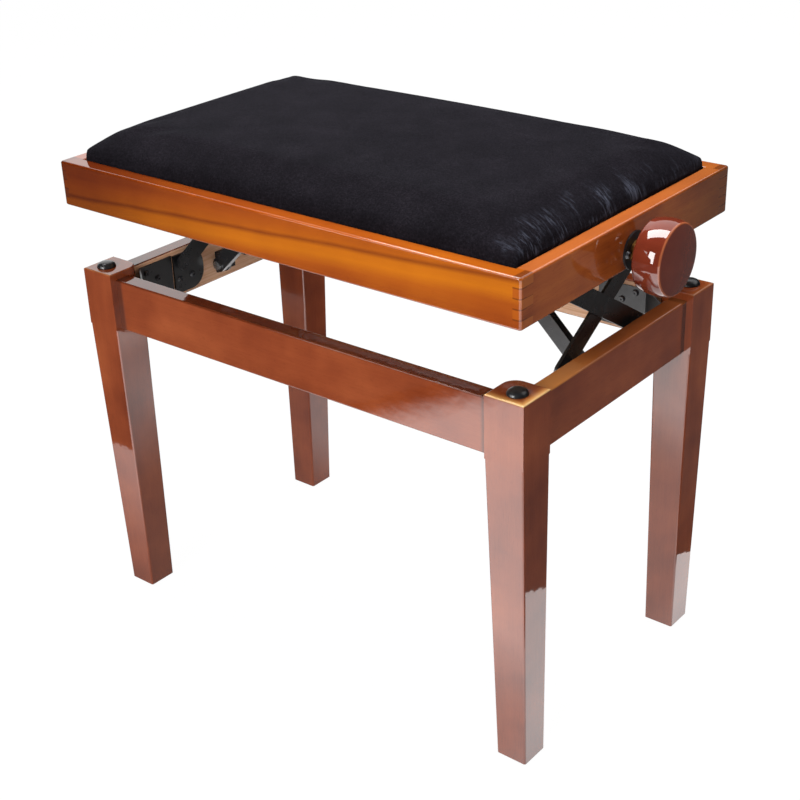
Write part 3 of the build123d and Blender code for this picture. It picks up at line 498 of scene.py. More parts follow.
# Spindle and nuts. Drawn bright steel; the nuts are sawn from bar. Each end of the real spindle
# has a thread of opposite hand, which isn't cut here.
bright_finish, tree, shader = new_finish("drawn_bright_steel")
place = add_node(tree, "TexCoord")
draw_lines = streaks(tree, place, "X", 0.05, 0.6 * mm, {"Detail": 2.0})
bright_tone = add_node(tree, "ValToRGB", {}, {"Fac": draw_lines})
set_ramp(bright_tone, [(0.3, "8f8f90"), (0.7, "b4b5b6")])
tree.links.new(bright_tone.outputs["Color"], shader.inputs["Base Color"])
shader.inputs["Roughness"].default_value = 0.3
shader.inputs["Metallic"].default_value = 1.0
for name in ("spindle", "spindle_collars", "right_spindle_nut", "left_spindle_nut"):
    dress(name, bright_finish)

# Bearing bushes and escutcheon. The bushes are sintered bronze, oil-filled and dull, and the
# round plate behind the knob is blacked steel.
bronze_finish = speckled(
    "sintered_bronze", 0.5 * mm, 3.0, (0.3, "6d4a25"), (0.7, "94693a"), 0.5, 1.0
)[0]
dress("right_spindle_bush", bronze_finish)
dress("left_spindle_bush", bronze_finish)
dress("escutcheon", black_steel)

# Seat rails. Cherry-stained beech, finger-jointed at the corners, under the same buffed
# lacquer. The grain runs along each rail, and the glue lines of the fingers show dark.
rail_bottom = 452 * mm
seat_half_length = 275 * mm
seat_half_depth = 170 * mm
finger_height = 9 * mm
finger_length = 8 * mm
glue_line_half = 0.6 * mm


def finger_jointed(tree, shader, wood_colour, end_colour, along, middle, half_span):
    """Darken the glue lines of the finger joint at both ends of a rail, and give the ends of
    its fingers, which show in the next rail's face, their own colour."""
    place = add_node(tree, "TexCoord")
    axes = add_node(tree, "SeparateXYZ", {}, {0: place.outputs["Object"]})
    facing = add_node(tree, "SeparateXYZ", {}, {0: place.outputs["Normal"]})
    end_grain = add_node(tree, "Math", {"operation": "ABSOLUTE"}, {0: facing.outputs[along]})
    end_grain = add_node(
        tree, "MapRange", {1: 0.70, 2: 0.95, 3: 0.0, 4: 0.85}, {0: end_grain.outputs[0]}
    )
    ended = add_node(
        tree, "Mix", {"data_type": "RGBA", 7: linear(end_colour)},
        {0: end_grain.outputs[0], 6: wood_colour},
    )
    offset = add_node(tree, "Math", {"operation": "SUBTRACT", 1: middle}, {0: axes.outputs[along]})
    reach = add_node(tree, "Math", {"operation": "ABSOLUTE"}, {0: offset.outputs[0]})
    at_end = add_node(
        tree,
        "MapRange",
        {
            "interpolation_type": "SMOOTHSTEP",
            1: half_span - finger_length - glue_line_half,
            2: half_span - finger_length + glue_line_half,
        },
        {0: reach.outputs[0]},
    )
    height = add_node(
        tree, "Math", {"operation": "SUBTRACT", 1: rail_bottom}, {0: axes.outputs["Z"]}
    )
    # A glue line is drawn wherever a whole number of fingers lies below.
    whole = add_node(
        tree, "Math", {"operation": "MODULO", 1: finger_height}, {0: height.outputs[0]}
    )
    off_middle = add_node(
        tree, "Math", {"operation": "SUBTRACT", 1: finger_height / 2}, {0: whole.outputs[0]}
    )
    near_edge = add_node(tree, "Math", {"operation": "ABSOLUTE"}, {0: off_middle.outputs[0]})
    line = add_node(
        tree,
        "MapRange",
        {
            "interpolation_type": "SMOOTHSTEP",
            1: finger_height / 2 - 0.9 * mm,
            2: finger_height / 2 - 0.3 * mm,
        },
        {0: near_edge.outputs[0]},
    )
    inside = add_node(
        tree, "Math", {"operation": "GREATER_THAN", 1: finger_height / 2}, {0: height.outputs[0]}
    )
    line = add_node(
        tree, "Math", {"operation": "MULTIPLY"}, {0: line.outputs[0], 1: inside.outputs[0]}
    )
    line = add_node(
        tree, "Math", {"operation": "MULTIPLY"}, {0: line.outputs[0], 1: at_end.outputs[0]}
    )
    strength = add_node(tree, "Math", {"operation": "MULTIPLY", 1: 0.6}, {0: line.outputs[0]})
    jointed = add_node(
        tree, "Mix", {"data_type": "RGBA", 7: linear("42170a")},
        {0: strength.outputs[0], 6: ended.outputs[2]},
    )
    tree.links.new(jointed.outputs[2], shader.inputs["Base Color"])


def painted_rear_shade_and_top_light(tree, wood, along, start, end):
    """The wood's colour, with painted shade towards the frame's rear right corner and painted light
    on top.
    """
    place = add_node(tree, "TexCoord")
    axes = add_node(tree, "SeparateXYZ", {}, {0: place.outputs["Object"]})
    # Painted shade, deepening towards the frame's rear right corner.
    rear_shade_share = add_node(
        tree, "MapRange", {"interpolation_type": "SMOOTHSTEP", 1: start, 2: end, 3: 0.0, 4: 0.75},
        {0: axes.outputs[along]},
    )
    dark = add_node(
        tree, "Mix", {"data_type": "RGBA", "blend_type": "MULTIPLY", 7: linear("939da0")},
        {0: rear_shade_share.outputs[0], 6: wood.outputs[2]},
    )
    # Painted light on the faces that look up.
    facing = add_node(tree, "SeparateXYZ", {}, {0: place.outputs["Normal"]})
    upper = add_node(tree, "MapRange", {1: 0.80, 2: 0.98, 3: 0.0, 4: 0.5}, {0: facing.outputs["Z"]})
    top_painted_light = add_node(
        tree, "Mix", {"data_type": "RGBA", 7: linear("b0622f")},
        {0: upper.outputs[0], 6: dark.outputs[2]},
    )
    return top_painted_light.outputs[2]


cherry = ("7c3410", "9c4c12", "b86416")
front_rail, tree, shader, wood = lacquered_beech(
    "cherry_lacquered_beech_front", "X", cherry, 18 * mm, 0.45, 0.12
)
# The front board's figure climbs a little to the right: a light band, a dark line above it, and
# redder wood above that. Towards the left end it turns darker and redder: partly the wood, partly
# painted shade.
place = add_node(tree, "TexCoord")
axes = add_node(tree, "SeparateXYZ", {}, {0: place.outputs["Object"]})
climb = add_node(tree, "Math", {"operation": "MULTIPLY", 1: -0.058}, {0: axes.outputs["X"]})
sway_at = add_node(
    tree, "Mapping", {"Scale": (0.25, 1.0, 0.25)}, {"Vector": place.outputs["Object"]}
)
sway = add_node(
    tree, "TexNoise", {"Scale": 1 / (30 * mm), "Detail": 2.0}, {"Vector": sway_at.outputs[0]}
)
sway = add_node(
    tree, "Math", {"operation": "MULTIPLY_ADD", 1: 5 * mm},
    {0: sway.outputs[0], 2: climb.outputs[0]},
)
grain_height = add_node(
    tree, "Math", {"operation": "ADD"}, {0: axes.outputs["Z"], 1: sway.outputs[0]}
)
band_place = add_node(
    tree, "MapRange", {1: rail_bottom - 10 * mm, 2: rail_bottom + 60 * mm},
    {0: grain_height.outputs[0]},
)
bands = add_node(tree, "ValToRGB", {}, {"Fac": band_place.outputs[0]})
set_ramp(
    bands,
    [
        (0.12, "86380e"), (0.28, "9c4a0e"), (0.42, "c4700c"), (0.52, "bc680c"), (0.575, "6c2e08"),
        (0.62, "a8560e"), (0.74, "a04c10"), (0.86, "8c3c10"),
    ],
)
figured = add_node(
    tree, "Mix", {"data_type": "RGBA", 0: 0.6}, {6: wood.outputs[2], 7: bands.outputs["Color"]}
)
# Darker towards the left end: partly the wood, partly painted shade.
left_end_wood_and_shade = add_node(
    tree,
    "MapRange",
    {"interpolation_type": "SMOOTHSTEP", 1: -290 * mm, 2: -20 * mm, 3: 0.9, 4: 0.0},
    {0: axes.outputs["X"]},
)
red_end = add_node(
    tree, "Mix", {"data_type": "RGBA", "blend_type": "MULTIPLY", 7: linear("978194")},
    {0: left_end_wood_and_shade.outputs[0], 6: figured.outputs[2]},
)
finger_jointed(tree, shader, red_end.outputs[2], "a65a28", "X", seat_middle_x, seat_half_length)
dress("front_seat_rail", front_rail)
rear_rail, tree, shader, wood = lacquered_beech(
    "cherry_lacquered_beech_rear", "X", cherry, 16 * mm, 0.60, 0.12
)
rear_colour = painted_rear_shade_and_top_light(tree, wood, "X", 205 * mm, 250 * mm)
finger_jointed(tree, shader, rear_colour, "6e3c20", "X", seat_middle_x, seat_half_length)
dress("rear_seat_rail", rear_rail)
end_rail, tree, shader, wood = lacquered_beech(
    "cherry_lacquered_beech_across", "Y", ("7c3818", "9e5022", "b46428"), 16 * mm, 0.40, 0.12
)
right_colour = painted_rear_shade_and_top_light(tree, wood, "Y", 10 * mm, 165 * mm)
finger_jointed(tree, shader, right_colour, "a4500e", "Y", 0.0, seat_half_depth)
dress("right_seat_rail", end_rail)
# The left rail's darker tones are partly the wood and partly painted shade.
left_rail, tree, shader, wood = lacquered_beech(
    "dark_cherry_lacquered_beech_with_painted_shade", "Y", ("5e2610", "7a3618", "8c441e"), 16 * mm, 0.40, 0.12
)
finger_jointed(tree, shader, wood.outputs[2], "4e200c", "Y", 0.0, seat_half_depth)
dress("left_seat_rail", left_rail)

# Wooden pieces under the seat. Raw beech battens, ledges and corner blocks, and a birch
# plywood board.
def raw_wood(name, grain, dark, middle, light):
    """Planed wood with no finish. The grain runs along one axis."""
    made, tree, shader = new_finish(name)
    place = add_node(tree, "TexCoord")
    fibres = streaks(tree, place, grain, 0.05, 3 * mm, {"Detail": 5.0, "Roughness": 0.6})
    tone = add_node(tree, "ValToRGB", {}, {"Fac": fibres})
    set_ramp(tone, [(0.30, dark), (0.50, middle), (0.70, light)])
    tree.links.new(tone.outputs["Color"], shader.inputs["Base Color"])
    relief = add_node(tree, "Bump", {"Strength": 0.3, "Distance": 0.2 * mm}, {"Height": fibres})
    tree.links.new(relief.outputs["Normal"], shader.inputs["Normal"])
    shader.inputs["Roughness"].default_value = 0.72
    return made


dress("end_battens", raw_wood("raw_beech_across", "Y", "c99a78", "dbb092", "e8c4a8"))
dress("seat_ledges", raw_wood("raw_beech_along", "X", "c99a78", "dbb092", "e8c4a8"))
dress("seat_corner_blocks", raw_wood("raw_beech_blocks", "X", "ad7f5c", "cda27e", "dcb896"))
dress("seat_board", raw_wood("birch_plywood", "X", "c39b6c", "d9b889", "e6cda4"))

# Cushion. Foam on the board, covered in black cotton velour that is pulled over the board's
# edge and stapled beneath. It fills the frame, stands a little out of it and rounds over in a
# broad shoulder, which is lower at the corners, where the cloth pulls on the foam.
board_top = 494 * mm
held_height = 4 * mm
pad_half_length = 260 * mm
pad_half_depth = 154 * mm
pad_corner = 7 * mm
pad_rise = 31.5 * mm
side_rise = 11.3 * mm
crown_rise = 6 * mm
shoulder_width = 39 * mm
shoulder_power = 1.65
opening_half_length = 257.7 * mm
opening_half_depth = 152.5 * mm
side_bulge = 2.3 * mm
bulge_start = 3.2 * mm
bulge_height = 2.5 * mm
largest_move = 1.5 * mm
pad = bmesh.new()
bmesh.ops.create_cube(pad, size=1.0)
bmesh.ops.scale(pad, vec=(2 * pad_half_length, 2 * pad_half_depth, pad_rise), verts=pad.verts)
bmesh.ops.translate(pad, vec=(seat_middle_x, 0, board_top + pad_rise / 2), verts=pad.verts)
uprights = [e for e in pad.edges if abs(e.verts[0].co.z - e.verts[1].co.z) > pad_rise / 2]
bmesh.ops.bevel(
    pad, geom=uprights, offset=pad_corner, offset_type="OFFSET", segments=6, profile=0.5,
    affect="EDGES", material=-1,
)
bmesh.ops.recalc_face_normals(pad, faces=pad.faces)
cushion = put_in_scene(pad, "velour_cushion")
remesh = cushion.modifiers.new("even_mesh", "REMESH")
remesh.mode = "VOXEL"
remesh.voxel_size = 5 * mm


def apply_modifiers(piece):
    """Replace a piece's mesh by what its modifiers make of it."""
    graph = bpy.context.evaluated_depsgraph_get()
    made = bpy.data.meshes.new_from_object(piece.evaluated_get(graph))
    piece.modifiers.clear()
    piece.data = made


def shoulder(distance):
    """How far the foam has risen, from 0 to 1, at a distance from the cushion's edge."""
    inwards = min(1.0, max(0.0, distance / shoulder_width))
    return (1 - (1 - inwards) ** shoulder_power) ** (1 / shoulder_power)


apply_modifiers(cushion)
crowned = bmesh.new()
crowned.from_mesh(cushion.data)
for v in crowned.verts:
    from_middle_x = abs(v.co.x - seat_middle_x)
    from_middle_y = abs(v.co.y)
    rise = shoulder(pad_half_length - from_middle_x) * shoulder(pad_half_depth - from_middle_y)
    crown = 1 - (from_middle_x / pad_half_length) ** 2
    crown *= 1 - (from_middle_y / pad_half_depth) ** 2
    top = side_rise + (pad_rise - side_rise) * rise + crown_rise * crown
    v.co.z = board_top + (v.co.z - board_top) / pad_rise * top
for step in range(2):
    bmesh.ops.smooth_vert(
        crowned,
        verts=[v for v in crowned.verts if v.co.z > board_top + held_height],
        factor=0.25,
        use_axis_x=True,
        use_axis_y=True,
        use_axis_z=True,
    )
crowned.to_mesh(cushion.data)
crowned.free()
# The cloth swells a little under pressure, held along its lower edge.
held = cushion.vertex_groups.new(name="held")
lowest = [v.index for v in cushion.data.vertices if v.co.z < board_top + held_height]
held.add(lowest, 1.0, "REPLACE")
starts = [v.co.copy() for v in cushion.data.vertices]
cloth = cushion.modifiers.new("swell", "CLOTH")
cloth.settings.quality = 6
cloth.settings.mass = 0.3
cloth.settings.tension_stiffness = 18
cloth.settings.compression_stiffness = 18
cloth.settings.shear_stiffness = 6
cloth.settings.bending_stiffness = 1.5
cloth.settings.use_pressure = True
cloth.settings.uniform_pressure_force = 2.5
cloth.settings.effector_weights.gravity = 0.0
cloth.settings.vertex_group_mass = "held"
cloth.collision_settings.use_collision = False
for step in range(1, 21):
    bpy.context.scene.frame_set(step)
apply_modifiers(cushion)
bpy.context.scene.frame_set(1)
for v, start in zip(cushion.data.vertices, starts):
    move = v.co - start
    if move.length > largest_move:
        v.co = start + move.normalized() * largest_move
# Below the rails' top the cover stays inside the frame; above it, it may bulge over a little.
for v in cushion.data.vertices:
    bulge_share = (v.co.z - board_top - bulge_start) / bulge_height
    bulge = side_bulge * min(1.0, max(0.0, bulge_share))
    limit_x = opening_half_length + bulge
    limit_y = opening_half_depth + bulge
    v.co.x = seat_middle_x + min(limit_x, max(-limit_x, v.co.x - seat_middle_x))
    v.co.y = min(limit_y, max(-limit_y, v.co.y))
cushion.vertex_groups.clear()
for face in cushion.data.polygons:
    face.use_smooth = True
softened = cushion.modifiers.new("smooth_pile", "SUBSURF")
softened.levels = 1
softened.render_levels = 1

velour, tree, shader = new_finish("black_cotton_velour")
place = add_node(tree, "TexCoord")
# Pile tufts are drawn 2 mm apart; the real ones stand about 0.3 mm apart.
tufts = add_node(
    tree, "TexNoise", {"Scale": 1 / (2 * mm), "Detail": 4.0, "Roughness": 0.8},
    {"Vector": place.outputs["Object"]},
)
# The pile lies in faint patches about 40 mm across, as hands have brushed it.
brushed = add_node(
    tree, "TexNoise", {"Scale": 1 / (40 * mm), "Detail": 5.0, "Roughness": 0.65},
    {"Vector": place.outputs["Object"]},
)
patches = add_node(
    tree, "MapRange", {1: 0.0, 2: 1.0, 3: 0.22, 4: 0.78}, {0: brushed.outputs["Fac"]}
)
pile_tone = add_node(
    tree, "Math", {"operation": "MULTIPLY_ADD", 1: 1.4},
    {0: tufts.outputs["Fac"], 2: patches.outputs[0]},
)
pile_share = add_node(tree, "MapRange", {1: 0.80, 2: 1.60}, {0: pile_tone.outputs[0]})
pile = add_node(tree, "ValToRGB", {}, {"Fac": pile_share.outputs[0]})
set_ramp(pile, [(0.15, "0a080b"), (0.50, "121014"), (0.85, "1e1b20")])
# Along the knob end the pile is ruffled, and its painted sheen shows as pale short streaks that
# climb the shoulder, about 2 mm wide, in clumps 25 mm long, mostly towards the front.
ruffle_at = add_node(
    tree, "Mapping", {"Scale": (0.16, 1.0, 0.16), "Rotation": (0.0, 0.0, radians(4))},
    {"Vector": place.outputs["Object"]},
)
ruffles = add_node(
    tree, "TexNoise", {"Scale": 1 / (3.2 * mm), "Detail": 4.0, "Roughness": 0.75},
    {"Vector": ruffle_at.outputs["Vector"]},
)
ruffle_mask = add_node(tree, "ValToRGB", {}, {"Fac": ruffles.outputs["Fac"]})
set_ramp(ruffle_mask, [(0.48, 0.0), (0.70, 1.0)])
clumps = add_node(
    tree, "TexNoise", {"Scale": 1 / (26 * mm), "Detail": 2.0}, {"Vector": place.outputs["Object"]}
)
clump_mask = add_node(tree, "ValToRGB", {}, {"Fac": clumps.outputs["Fac"]})
set_ramp(clump_mask, [(0.44, 0.06), (0.62, 1.0)])
axes = add_node(tree, "SeparateXYZ", {}, {0: place.outputs["Object"]})
near_end = add_node(
    tree,
    "MapRange",
    {
        "interpolation_type": "SMOOTHSTEP",
        1: seat_middle_x + pad_half_length - 32 * mm,
        2: seat_middle_x + pad_half_length - 7 * mm,
    },
    {0: axes.outputs["X"]},
)
towards_front = add_node(
    tree,
    "MapRange",
    {"interpolation_type": "SMOOTHSTEP", 1: -20 * mm, 2: 130 * mm, 3: 1.0, 4: 0.35},
    {0: axes.outputs["Y"]},
)
ruffled_pile_sheen = add_node(
    tree, "Math", {"operation": "MULTIPLY"},
    {0: ruffle_mask.outputs["Color"], 1: near_end.outputs[0]},
)
for share in (clump_mask.outputs["Color"], towards_front.outputs[0]):
    ruffled_pile_sheen = add_node(tree, "Math", {"operation": "MULTIPLY"}, {0: ruffled_pile_sheen.outputs[0], 1: share})
# The ruffled pile's painted sheen: pale bluish grey streaks mixed into the pile's colour.
velour_tone = add_node(
    tree, "Mix", {"data_type": "RGBA", 7: linear("4c4f5c")},
    {0: ruffled_pile_sheen.outputs[0], 6: pile.outputs["Color"]},
)
tree.links.new(velour_tone.outputs[2], shader.inputs["Base Color"])
pile_relief = add_node(
    tree, "Bump", {"Strength": 0.6, "Distance": 0.5 * mm}, {"Height": pile_tone.outputs[0]}
)
tree.links.new(pile_relief.outputs["Normal"], shader.inputs["Normal"])
shader.inputs["Roughness"].default_value = 0.9
shader.inputs["Specular IOR Level"].default_value = 0.02
shader.inputs["Sheen Weight"].default_value = 0.04
shader.inputs["Sheen Roughness"].default_value = 0.4
shader.inputs["Sheen Tint"].default_value = linear("9aa0b0")
cushion.data.materials.clear()
cushion.data.materials.append(velour)
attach(cushion, "seat")
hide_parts("seat_cover", "seat_foam")

# Knob. Turned beech, stained dark red-brown and lacquered, glued and grub-screwed on to the
# end of the spindle. Its side bulges, the rim of its face is crisp and the back rim is round.
spindle_z = 467 * mm
knob_back_x = seat_middle_x + 290 * mm
knob_outline_mm = [
    (-3, 5), (-3, 11.6), (-2.6, 12), (0, 12), (0, 27), (0.06, 27.9), (0.38, 29.4), (1, 30.5),
    (1.9, 31.4), (3, 32.05), (4.2, 32.4), (5, 32.55), (8, 33.25), (11.5, 33.8), (15.75, 34),
    (20, 33.8), (23.5, 33.25), (25.5, 32.75), (26.5, 32.5), (27.2, 32.36), (27.85, 31.98),
    (28.3, 31.35), (28.5, 30.5), (28.8, 27), (29.3, 21), (29.7, 14), (29.92, 7), (30, 0),
]
knob_finish, tree, shader, wood = lacquered_beech(
    "dark_red_lacquered_beech", "X", ("562013", "68291a", "783422"), 25 * mm, 0.3, 0.05
)
# A paler line round the rim of the face is a painted highlight.
place = add_node(tree, "TexCoord")
axes = add_node(tree, "SeparateXYZ", {}, {0: place.outputs["Object"]})
across = add_node(tree, "CombineXYZ", {}, {"Y": axes.outputs["Y"], "Z": axes.outputs["Z"]})
from_axis = add_node(
    tree, "VectorMath", {"operation": "DISTANCE", 1: (0.0, 0.0, spindle_z)}, {0: across.outputs[0]}
)
at_rim = add_node(
    tree, "MapRange", {"interpolation_type": "SMOOTHSTEP", 1: 30.4 * mm, 2: 31.4 * mm},
    {0: from_axis.outputs["Value"]},
)
at_face = add_node(
    tree,
    "MapRange",
    {
        "interpolation_type": "SMOOTHSTEP",
        1: knob_back_x + 26.6 * mm,
        2: knob_back_x + 27.6 * mm,
        3: 0.0,
        4: 0.5,
    },
    {0: axes.outputs["X"]},
)
wear_and_painted_highlight = add_node(
    tree, "Math", {"operation": "MULTIPLY"}, {0: at_rim.outputs[0], 1: at_face.outputs[0]}
)
knob_wood = add_node(
    tree, "Mix", {"data_type": "RGBA", 7: linear("b86c46")},
    {0: wear_and_painted_highlight.outputs[0], 6: wood.outputs[2]},
)
tree.links.new(knob_wood.outputs[2], shader.inputs["Base Color"])
knob = turned(
    "turned_knob",
    knob_outline_mm,
    96,
    Matrix.Rotation(pi / 2, 4, "Y"),
    [(knob_back_x, 0, spindle_z)],
)
knob.data.materials.append(knob_finish)
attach(knob, "spindle_and_knob")
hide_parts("knob")

# Studio. A white floor and a white surround, lit softly from the front and from above. Both show
# white to the camera, to reflections and to what is seen through, and the floor keeps a share of
# its own shading for the stool's shadow.
floor_half_width = 6.0
paper, tree, shader = new_finish("white_studio_paper")
shader.inputs["Base Color"].default_value = linear("9c9c9c")
shader.inputs["Roughness"].default_value = 0.9
shader.inputs["Specular IOR Level"].default_value = 0.0
output = tree.nodes["Material Output"]
glow = add_node(tree, "Emission", {"Color": (1.0, 1.0, 1.0, 1.0), "Strength": 1.06})
path = add_node(tree, "LightPath")
seen = add_node(
    tree, "Math", {"operation": "MAXIMUM"},
    {0: path.outputs["Is Camera Ray"], 1: path.outputs["Is Glossy Ray"]},
)
seen = add_node(
    tree, "Math", {"operation": "MAXIMUM"},
    {0: seen.outputs[0], 1: path.outputs["Is Transmission Ray"]},
)
share = add_node(tree, "Math", {"operation": "MULTIPLY", 1: 0.93}, {0: seen.outputs[0]})
mixed = add_node(
    tree, "MixShader", {}, {0: share.outputs[0], 1: shader.outputs[0], 2: glow.outputs[0]}
)
tree.links.new(mixed.outputs[0], output.inputs["Surface"])
floor_form = bmesh.new()
bmesh.ops.create_grid(floor_form, x_segments=1, y_segments=1, size=floor_half_width)
floor = put_in_scene(floor_form, "studio_floor")
floor.data.materials.append(paper)

world = bpy.data.worlds.new("white_surround")
bpy.context.scene.world = world
world.use_nodes = True
tree = world.node_tree
surround = tree.nodes["Background"]
surround.inputs["Color"].default_value = (1.0, 1.0, 1.0, 1.0)
path = add_node(tree, "LightPath")
mirrored = add_node(
    tree, "Math", {"operation": "MAXIMUM"},
    {0: path.outputs["Is Glossy Ray"], 1: path.outputs["Is Transmission Ray"]},
)
level = add_node(tree, "MapRange", {1: 0.0, 2: 1.0, 3: 0.40, 4: 1.6}, {0: mirrored.outputs[0]})
level = add_node(
    tree, "Mix", {"data_type": "FLOAT", 3: 1.0},
    {0: path.outputs["Is Camera Ray"], 2: level.outputs[0]},
)
tree.links.new(level.outputs[0], surround.inputs["Strength"])


def reflection_card(form, name, finish):
    """A studio card that only the lacquer's reflections show."""
    card = put_in_scene(form, name)
    card.data.materials.append(finish)
    card.visible_camera = False
    card.visible_diffuse = False
    card.visible_transmission = False
    card.visible_volume_scatter = False
    card.visible_shadow = False


# Black flags, like the dark room round a lit table: one stands behind the lamps, open at the
# back left, one hangs over the front half, and a dim floor lies round the stool.
flag_radius = 3.2
flag_height = 2.3
ceiling_reach = 3.3
ceiling_back = 0.4
dim_floor_half_width = 5.5
card_lift = 0.5 * mm
flag_black, tree, shader = new_finish("black_flag_cloth")
shader.inputs["Base Color"].default_value = linear("1c1a19")
shader.inputs["Roughness"].default_value = 1.0
shader.inputs["Specular IOR Level"].default_value = 0.0
dim_floor, tree, shader = new_finish("dim_studio_floor")
place = add_node(tree, "TexCoord")
axes = add_node(tree, "SeparateXYZ", {}, {0: place.outputs["Object"]})
rightwards = add_node(
    tree, "MapRange", {"interpolation_type": "SMOOTHSTEP", 1: 0.30, 2: 0.42, 3: 0.10, 4: 0.17},
    {0: axes.outputs["X"]},
)
spill_x = add_node(
    tree, "MapRange", {"interpolation_type": "SMOOTHSTEP", 1: 0.30, 2: 0.40}, {0: axes.outputs["X"]}
)
spill_y = add_node(
    tree, "MapRange", {"interpolation_type": "SMOOTHSTEP", 1: -0.18, 2: -0.30, 3: 0.0, 4: 2.5},
    {0: axes.outputs["Y"]},
)
dim_level = add_node(
    tree, "Math", {"operation": "MULTIPLY_ADD"},
    {0: spill_x.outputs[0], 1: spill_y.outputs[0], 2: rightwards.outputs[0]},
)
glow = add_node(
    tree, "Emission", {"Color": (1.0, 0.98, 0.98, 1.0)}, {"Strength": dim_level.outputs[0]}
)
tree.links.new(glow.outputs[0], tree.nodes["Material Output"].inputs["Surface"])
floor_flag = bmesh.new()
bmesh.ops.create_grid(floor_flag, x_segments=1, y_segments=1, size=dim_floor_half_width)
bmesh.ops.translate(floor_flag, vec=(0, 0, card_lift), verts=floor_flag.verts)
reflection_card(floor_flag, "dim_floor_card", dim_floor)
wall_flag = bmesh.new()
open_middle = radians(152)
open_half = radians(22)
first_angle = open_middle + open_half
foot = wall_flag.verts.new((flag_radius * cos(first_angle), flag_radius * sin(first_angle), 0.0))
bmesh.ops.spin(
    wall_flag, geom=[foot], axis=(0, 0, 1), cent=(0, 0, 0), angle=2 * (pi - open_half), steps=48
)
raised = bmesh.ops.extrude_edge_only(wall_flag, edges=wall_flag.edges)
bmesh.ops.translate(
    wall_flag,
    vec=(0, 0, flag_height),
    verts=[v for v in raised["geom"] if isinstance(v, bmesh.types.BMVert)],
)
reflection_card(wall_flag, "black_wall_flag", flag_black)
ceiling_flag = bmesh.new()
ceiling_corners = [
    (-ceiling_reach, -ceiling_reach), (ceiling_reach, -ceiling_reach),
    (ceiling_reach, ceiling_back), (-ceiling_reach, ceiling_back),
]
ceiling_flag.faces.new([ceiling_flag.verts.new((x, y, flag_height)) for x, y in ceiling_corners])
reflection_card(ceiling_flag, "black_ceiling_flag", flag_black)

# The lit sheet under the stool, brightest in front of the knob end, where the lamps pool.
sheet_glow, tree, shader = new_finish("lit_white_sheet")
place = add_node(tree, "TexCoord")
axes = add_node(tree, "SeparateXYZ", {}, {0: place.outputs["Object"]})
# Its front left edge is slanted, and this measures how far a spot lies inside that edge.
slant_part = add_node(tree, "Math", {"operation": "MULTIPLY", 1: 0.49}, {0: axes.outputs["Y"]})
slant = add_node(
    tree, "Math", {"operation": "MULTIPLY_ADD", 1: 0.872},
    {0: axes.outputs["X"], 2: slant_part.outputs[0]},
)
levels = {"X": axes.outputs["X"], "Y": axes.outputs["Y"], "slant": slant.outputs[0]}
# Smooth changes of level: along what, from where to where, from and to which level.
for ramp, along, start, end, low, high in (
    ("slanted_edge", "slant", -0.625, -0.535, 0.0, 1.0),
    ("straight_edge", "Y", -0.40, -0.35, 0.0, 1.0),
    ("pool_right", "X", -0.60, -0.10, 0.25, 1.0),
    ("pool_front", "Y", -0.14, -0.44, 0.0, 3.0),
    ("front_left", "Y", -0.20, -0.36, 0.50, 1.15),
    ("rear_back", "Y", 0.10, 0.25, 0.0, 1.3),
    ("rear_left", "X", 0.0, 0.2, 1.0, 0.0),
    ("under_right", "X", -0.10, 0.10, 0.0, 1.2),
    ("beside", "X", 0.20, 0.28, 0.0, 0.8),
    ("left_end", "X", -0.64, -0.53, 0.3, 1.0),
):
    node = add_node(
        tree, "MapRange", {"interpolation_type": "SMOOTHSTEP", 1: start, 2: end, 3: low, 4: high},
        {0: levels[along]},
    )
    levels[ramp] = node.outputs[0]
# How they combine.
for total, operation, first, second in (
    ("inside", "MAXIMUM", "slanted_edge", "straight_edge"),
    ("pool", "MULTIPLY", "pool_right", "pool_front"),
    ("rear", "MULTIPLY", "rear_back", "rear_left"),
    ("front", "ADD", "pool", "front_left"),
    ("back", "ADD", "rear", "under_right"),
    ("sheet", "ADD", "front", "back"),
    ("sheet", "ADD", "sheet", "beside"),
    ("sheet", "MULTIPLY", "sheet", "inside"),
    ("sheet", "MULTIPLY", "sheet", "left_end"),
):
    node = add_node(tree, "Math", {"operation": operation}, {0: levels[first], 1: levels[second]})
    levels[total] = node.outputs[0]
brightest_level = 3.9
sheet_level = add_node(
    tree, "Math", {"operation": "MINIMUM", 1: brightest_level}, {0: levels["sheet"]}
)
glow = add_node(
    tree, "Emission", {"Color": (1.0, 0.98, 0.98, 1.0)}, {"Strength": sheet_level.outputs[0]}
)
tree.links.new(glow.outputs[0], tree.nodes["Material Output"].inputs["Surface"])
sheet_form = bmesh.new()
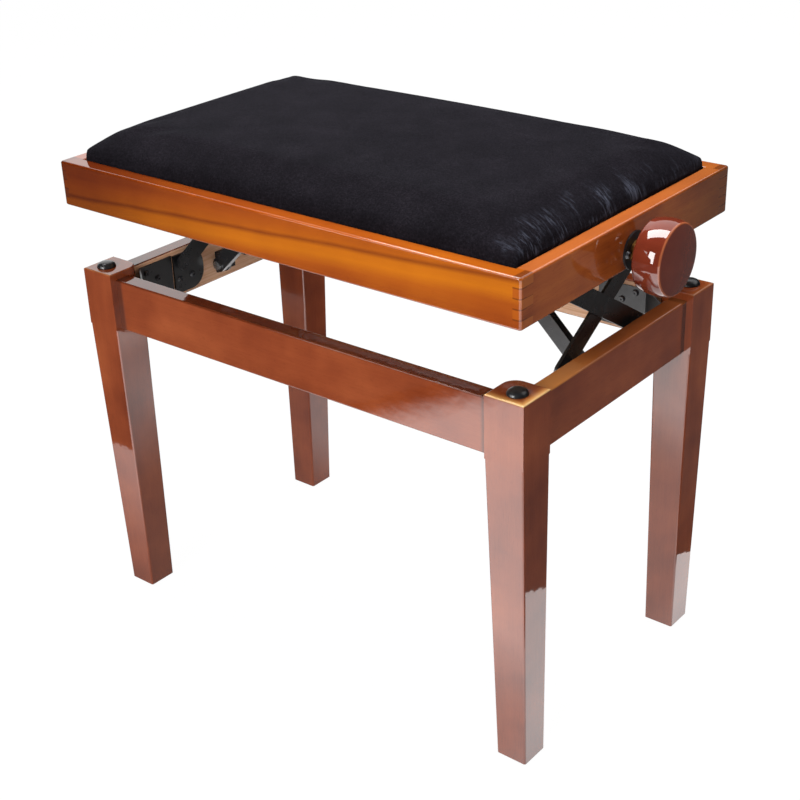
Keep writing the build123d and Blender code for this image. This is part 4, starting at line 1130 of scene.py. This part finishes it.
sheet_corners = [
    (-0.95, 0.38), (-0.95, -0.345), (-0.50, -0.345), (-0.27, -0.86), (0.42, -0.86), (0.42, 0.06),
    (0.30, 0.27), (0.05, 0.38),
]
sheet_lift = 2 * card_lift
sheet_form.faces.new([sheet_form.verts.new((x, y, sheet_lift)) for x, y in sheet_corners])
reflection_card(sheet_form, "lit_sheet_card", sheet_glow)

# Two soft boxes light the stool, and three window-like lamps show only in reflections: two in the
# knob's side, and a weaker one along the rounded top edges.
stool_middle = (0, 0, 0.35)
for name, place, target, width, height, watts, shown_in in (
    ("front_softbox", (0.25, -2.3, 1.3), stool_middle, 1.3, 1.0, 62, "diffuse"),
    ("overhead_softbox", (0.1, 0.6, 2.4), stool_middle, 1.4, 1.4, 76, "diffuse"),
    ("high_window", (-0.27, -0.10, 2.10), (0.27, 0, 0.467), 0.80, 1.45, 58, "glossy"),
    ("front_window", (-0.22, -1.90, 0.90), (0.28, 0, 0.467), 0.55, 1.10, 34, "glossy"),
    ("left_window", (-0.95, -1.60, 1.00), (0.10, -0.17, 0.49), 0.60, 0.60, 6, "glossy"),
):
    light = bpy.data.lights.new(name, "AREA")
    light.shape = "RECTANGLE"
    light.size = width
    light.size_y = height
    light.energy = watts
    lamp = bpy.data.objects.new(name, light)
    bpy.context.scene.collection.objects.link(lamp)
    lamp.location = place
    lamp.rotation_euler = (Vector(target) - Vector(place)).to_track_quat("-Z", "Y").to_euler()
    lamp.visible_camera = False
    lamp.visible_diffuse = shown_in == "diffuse"
    lamp.visible_glossy = shown_in == "glossy"

# Camera, at the photograph's place and angle.
right = Vector((0.7789, 0.6264, -0.0322))
up = Vector((-0.2587, 0.3676, 0.8933))
back = Vector((0.5713, -0.6874, 0.4483))
lens = bpy.data.cameras.new("photo_camera")
lens.sensor_width = 36.0
lens.lens = 66.055
camera = bpy.data.objects.new("photo_camera", lens)
bpy.context.scene.collection.objects.link(camera)
turn = Matrix((right, up, back)).transposed().to_4x4()
camera.matrix_world = Matrix.Translation((0.8500, -1.0399, 0.9236)) @ turn
bpy.context.scene.camera = camera
bpy.context.scene.view_settings.view_transform = "Standard"
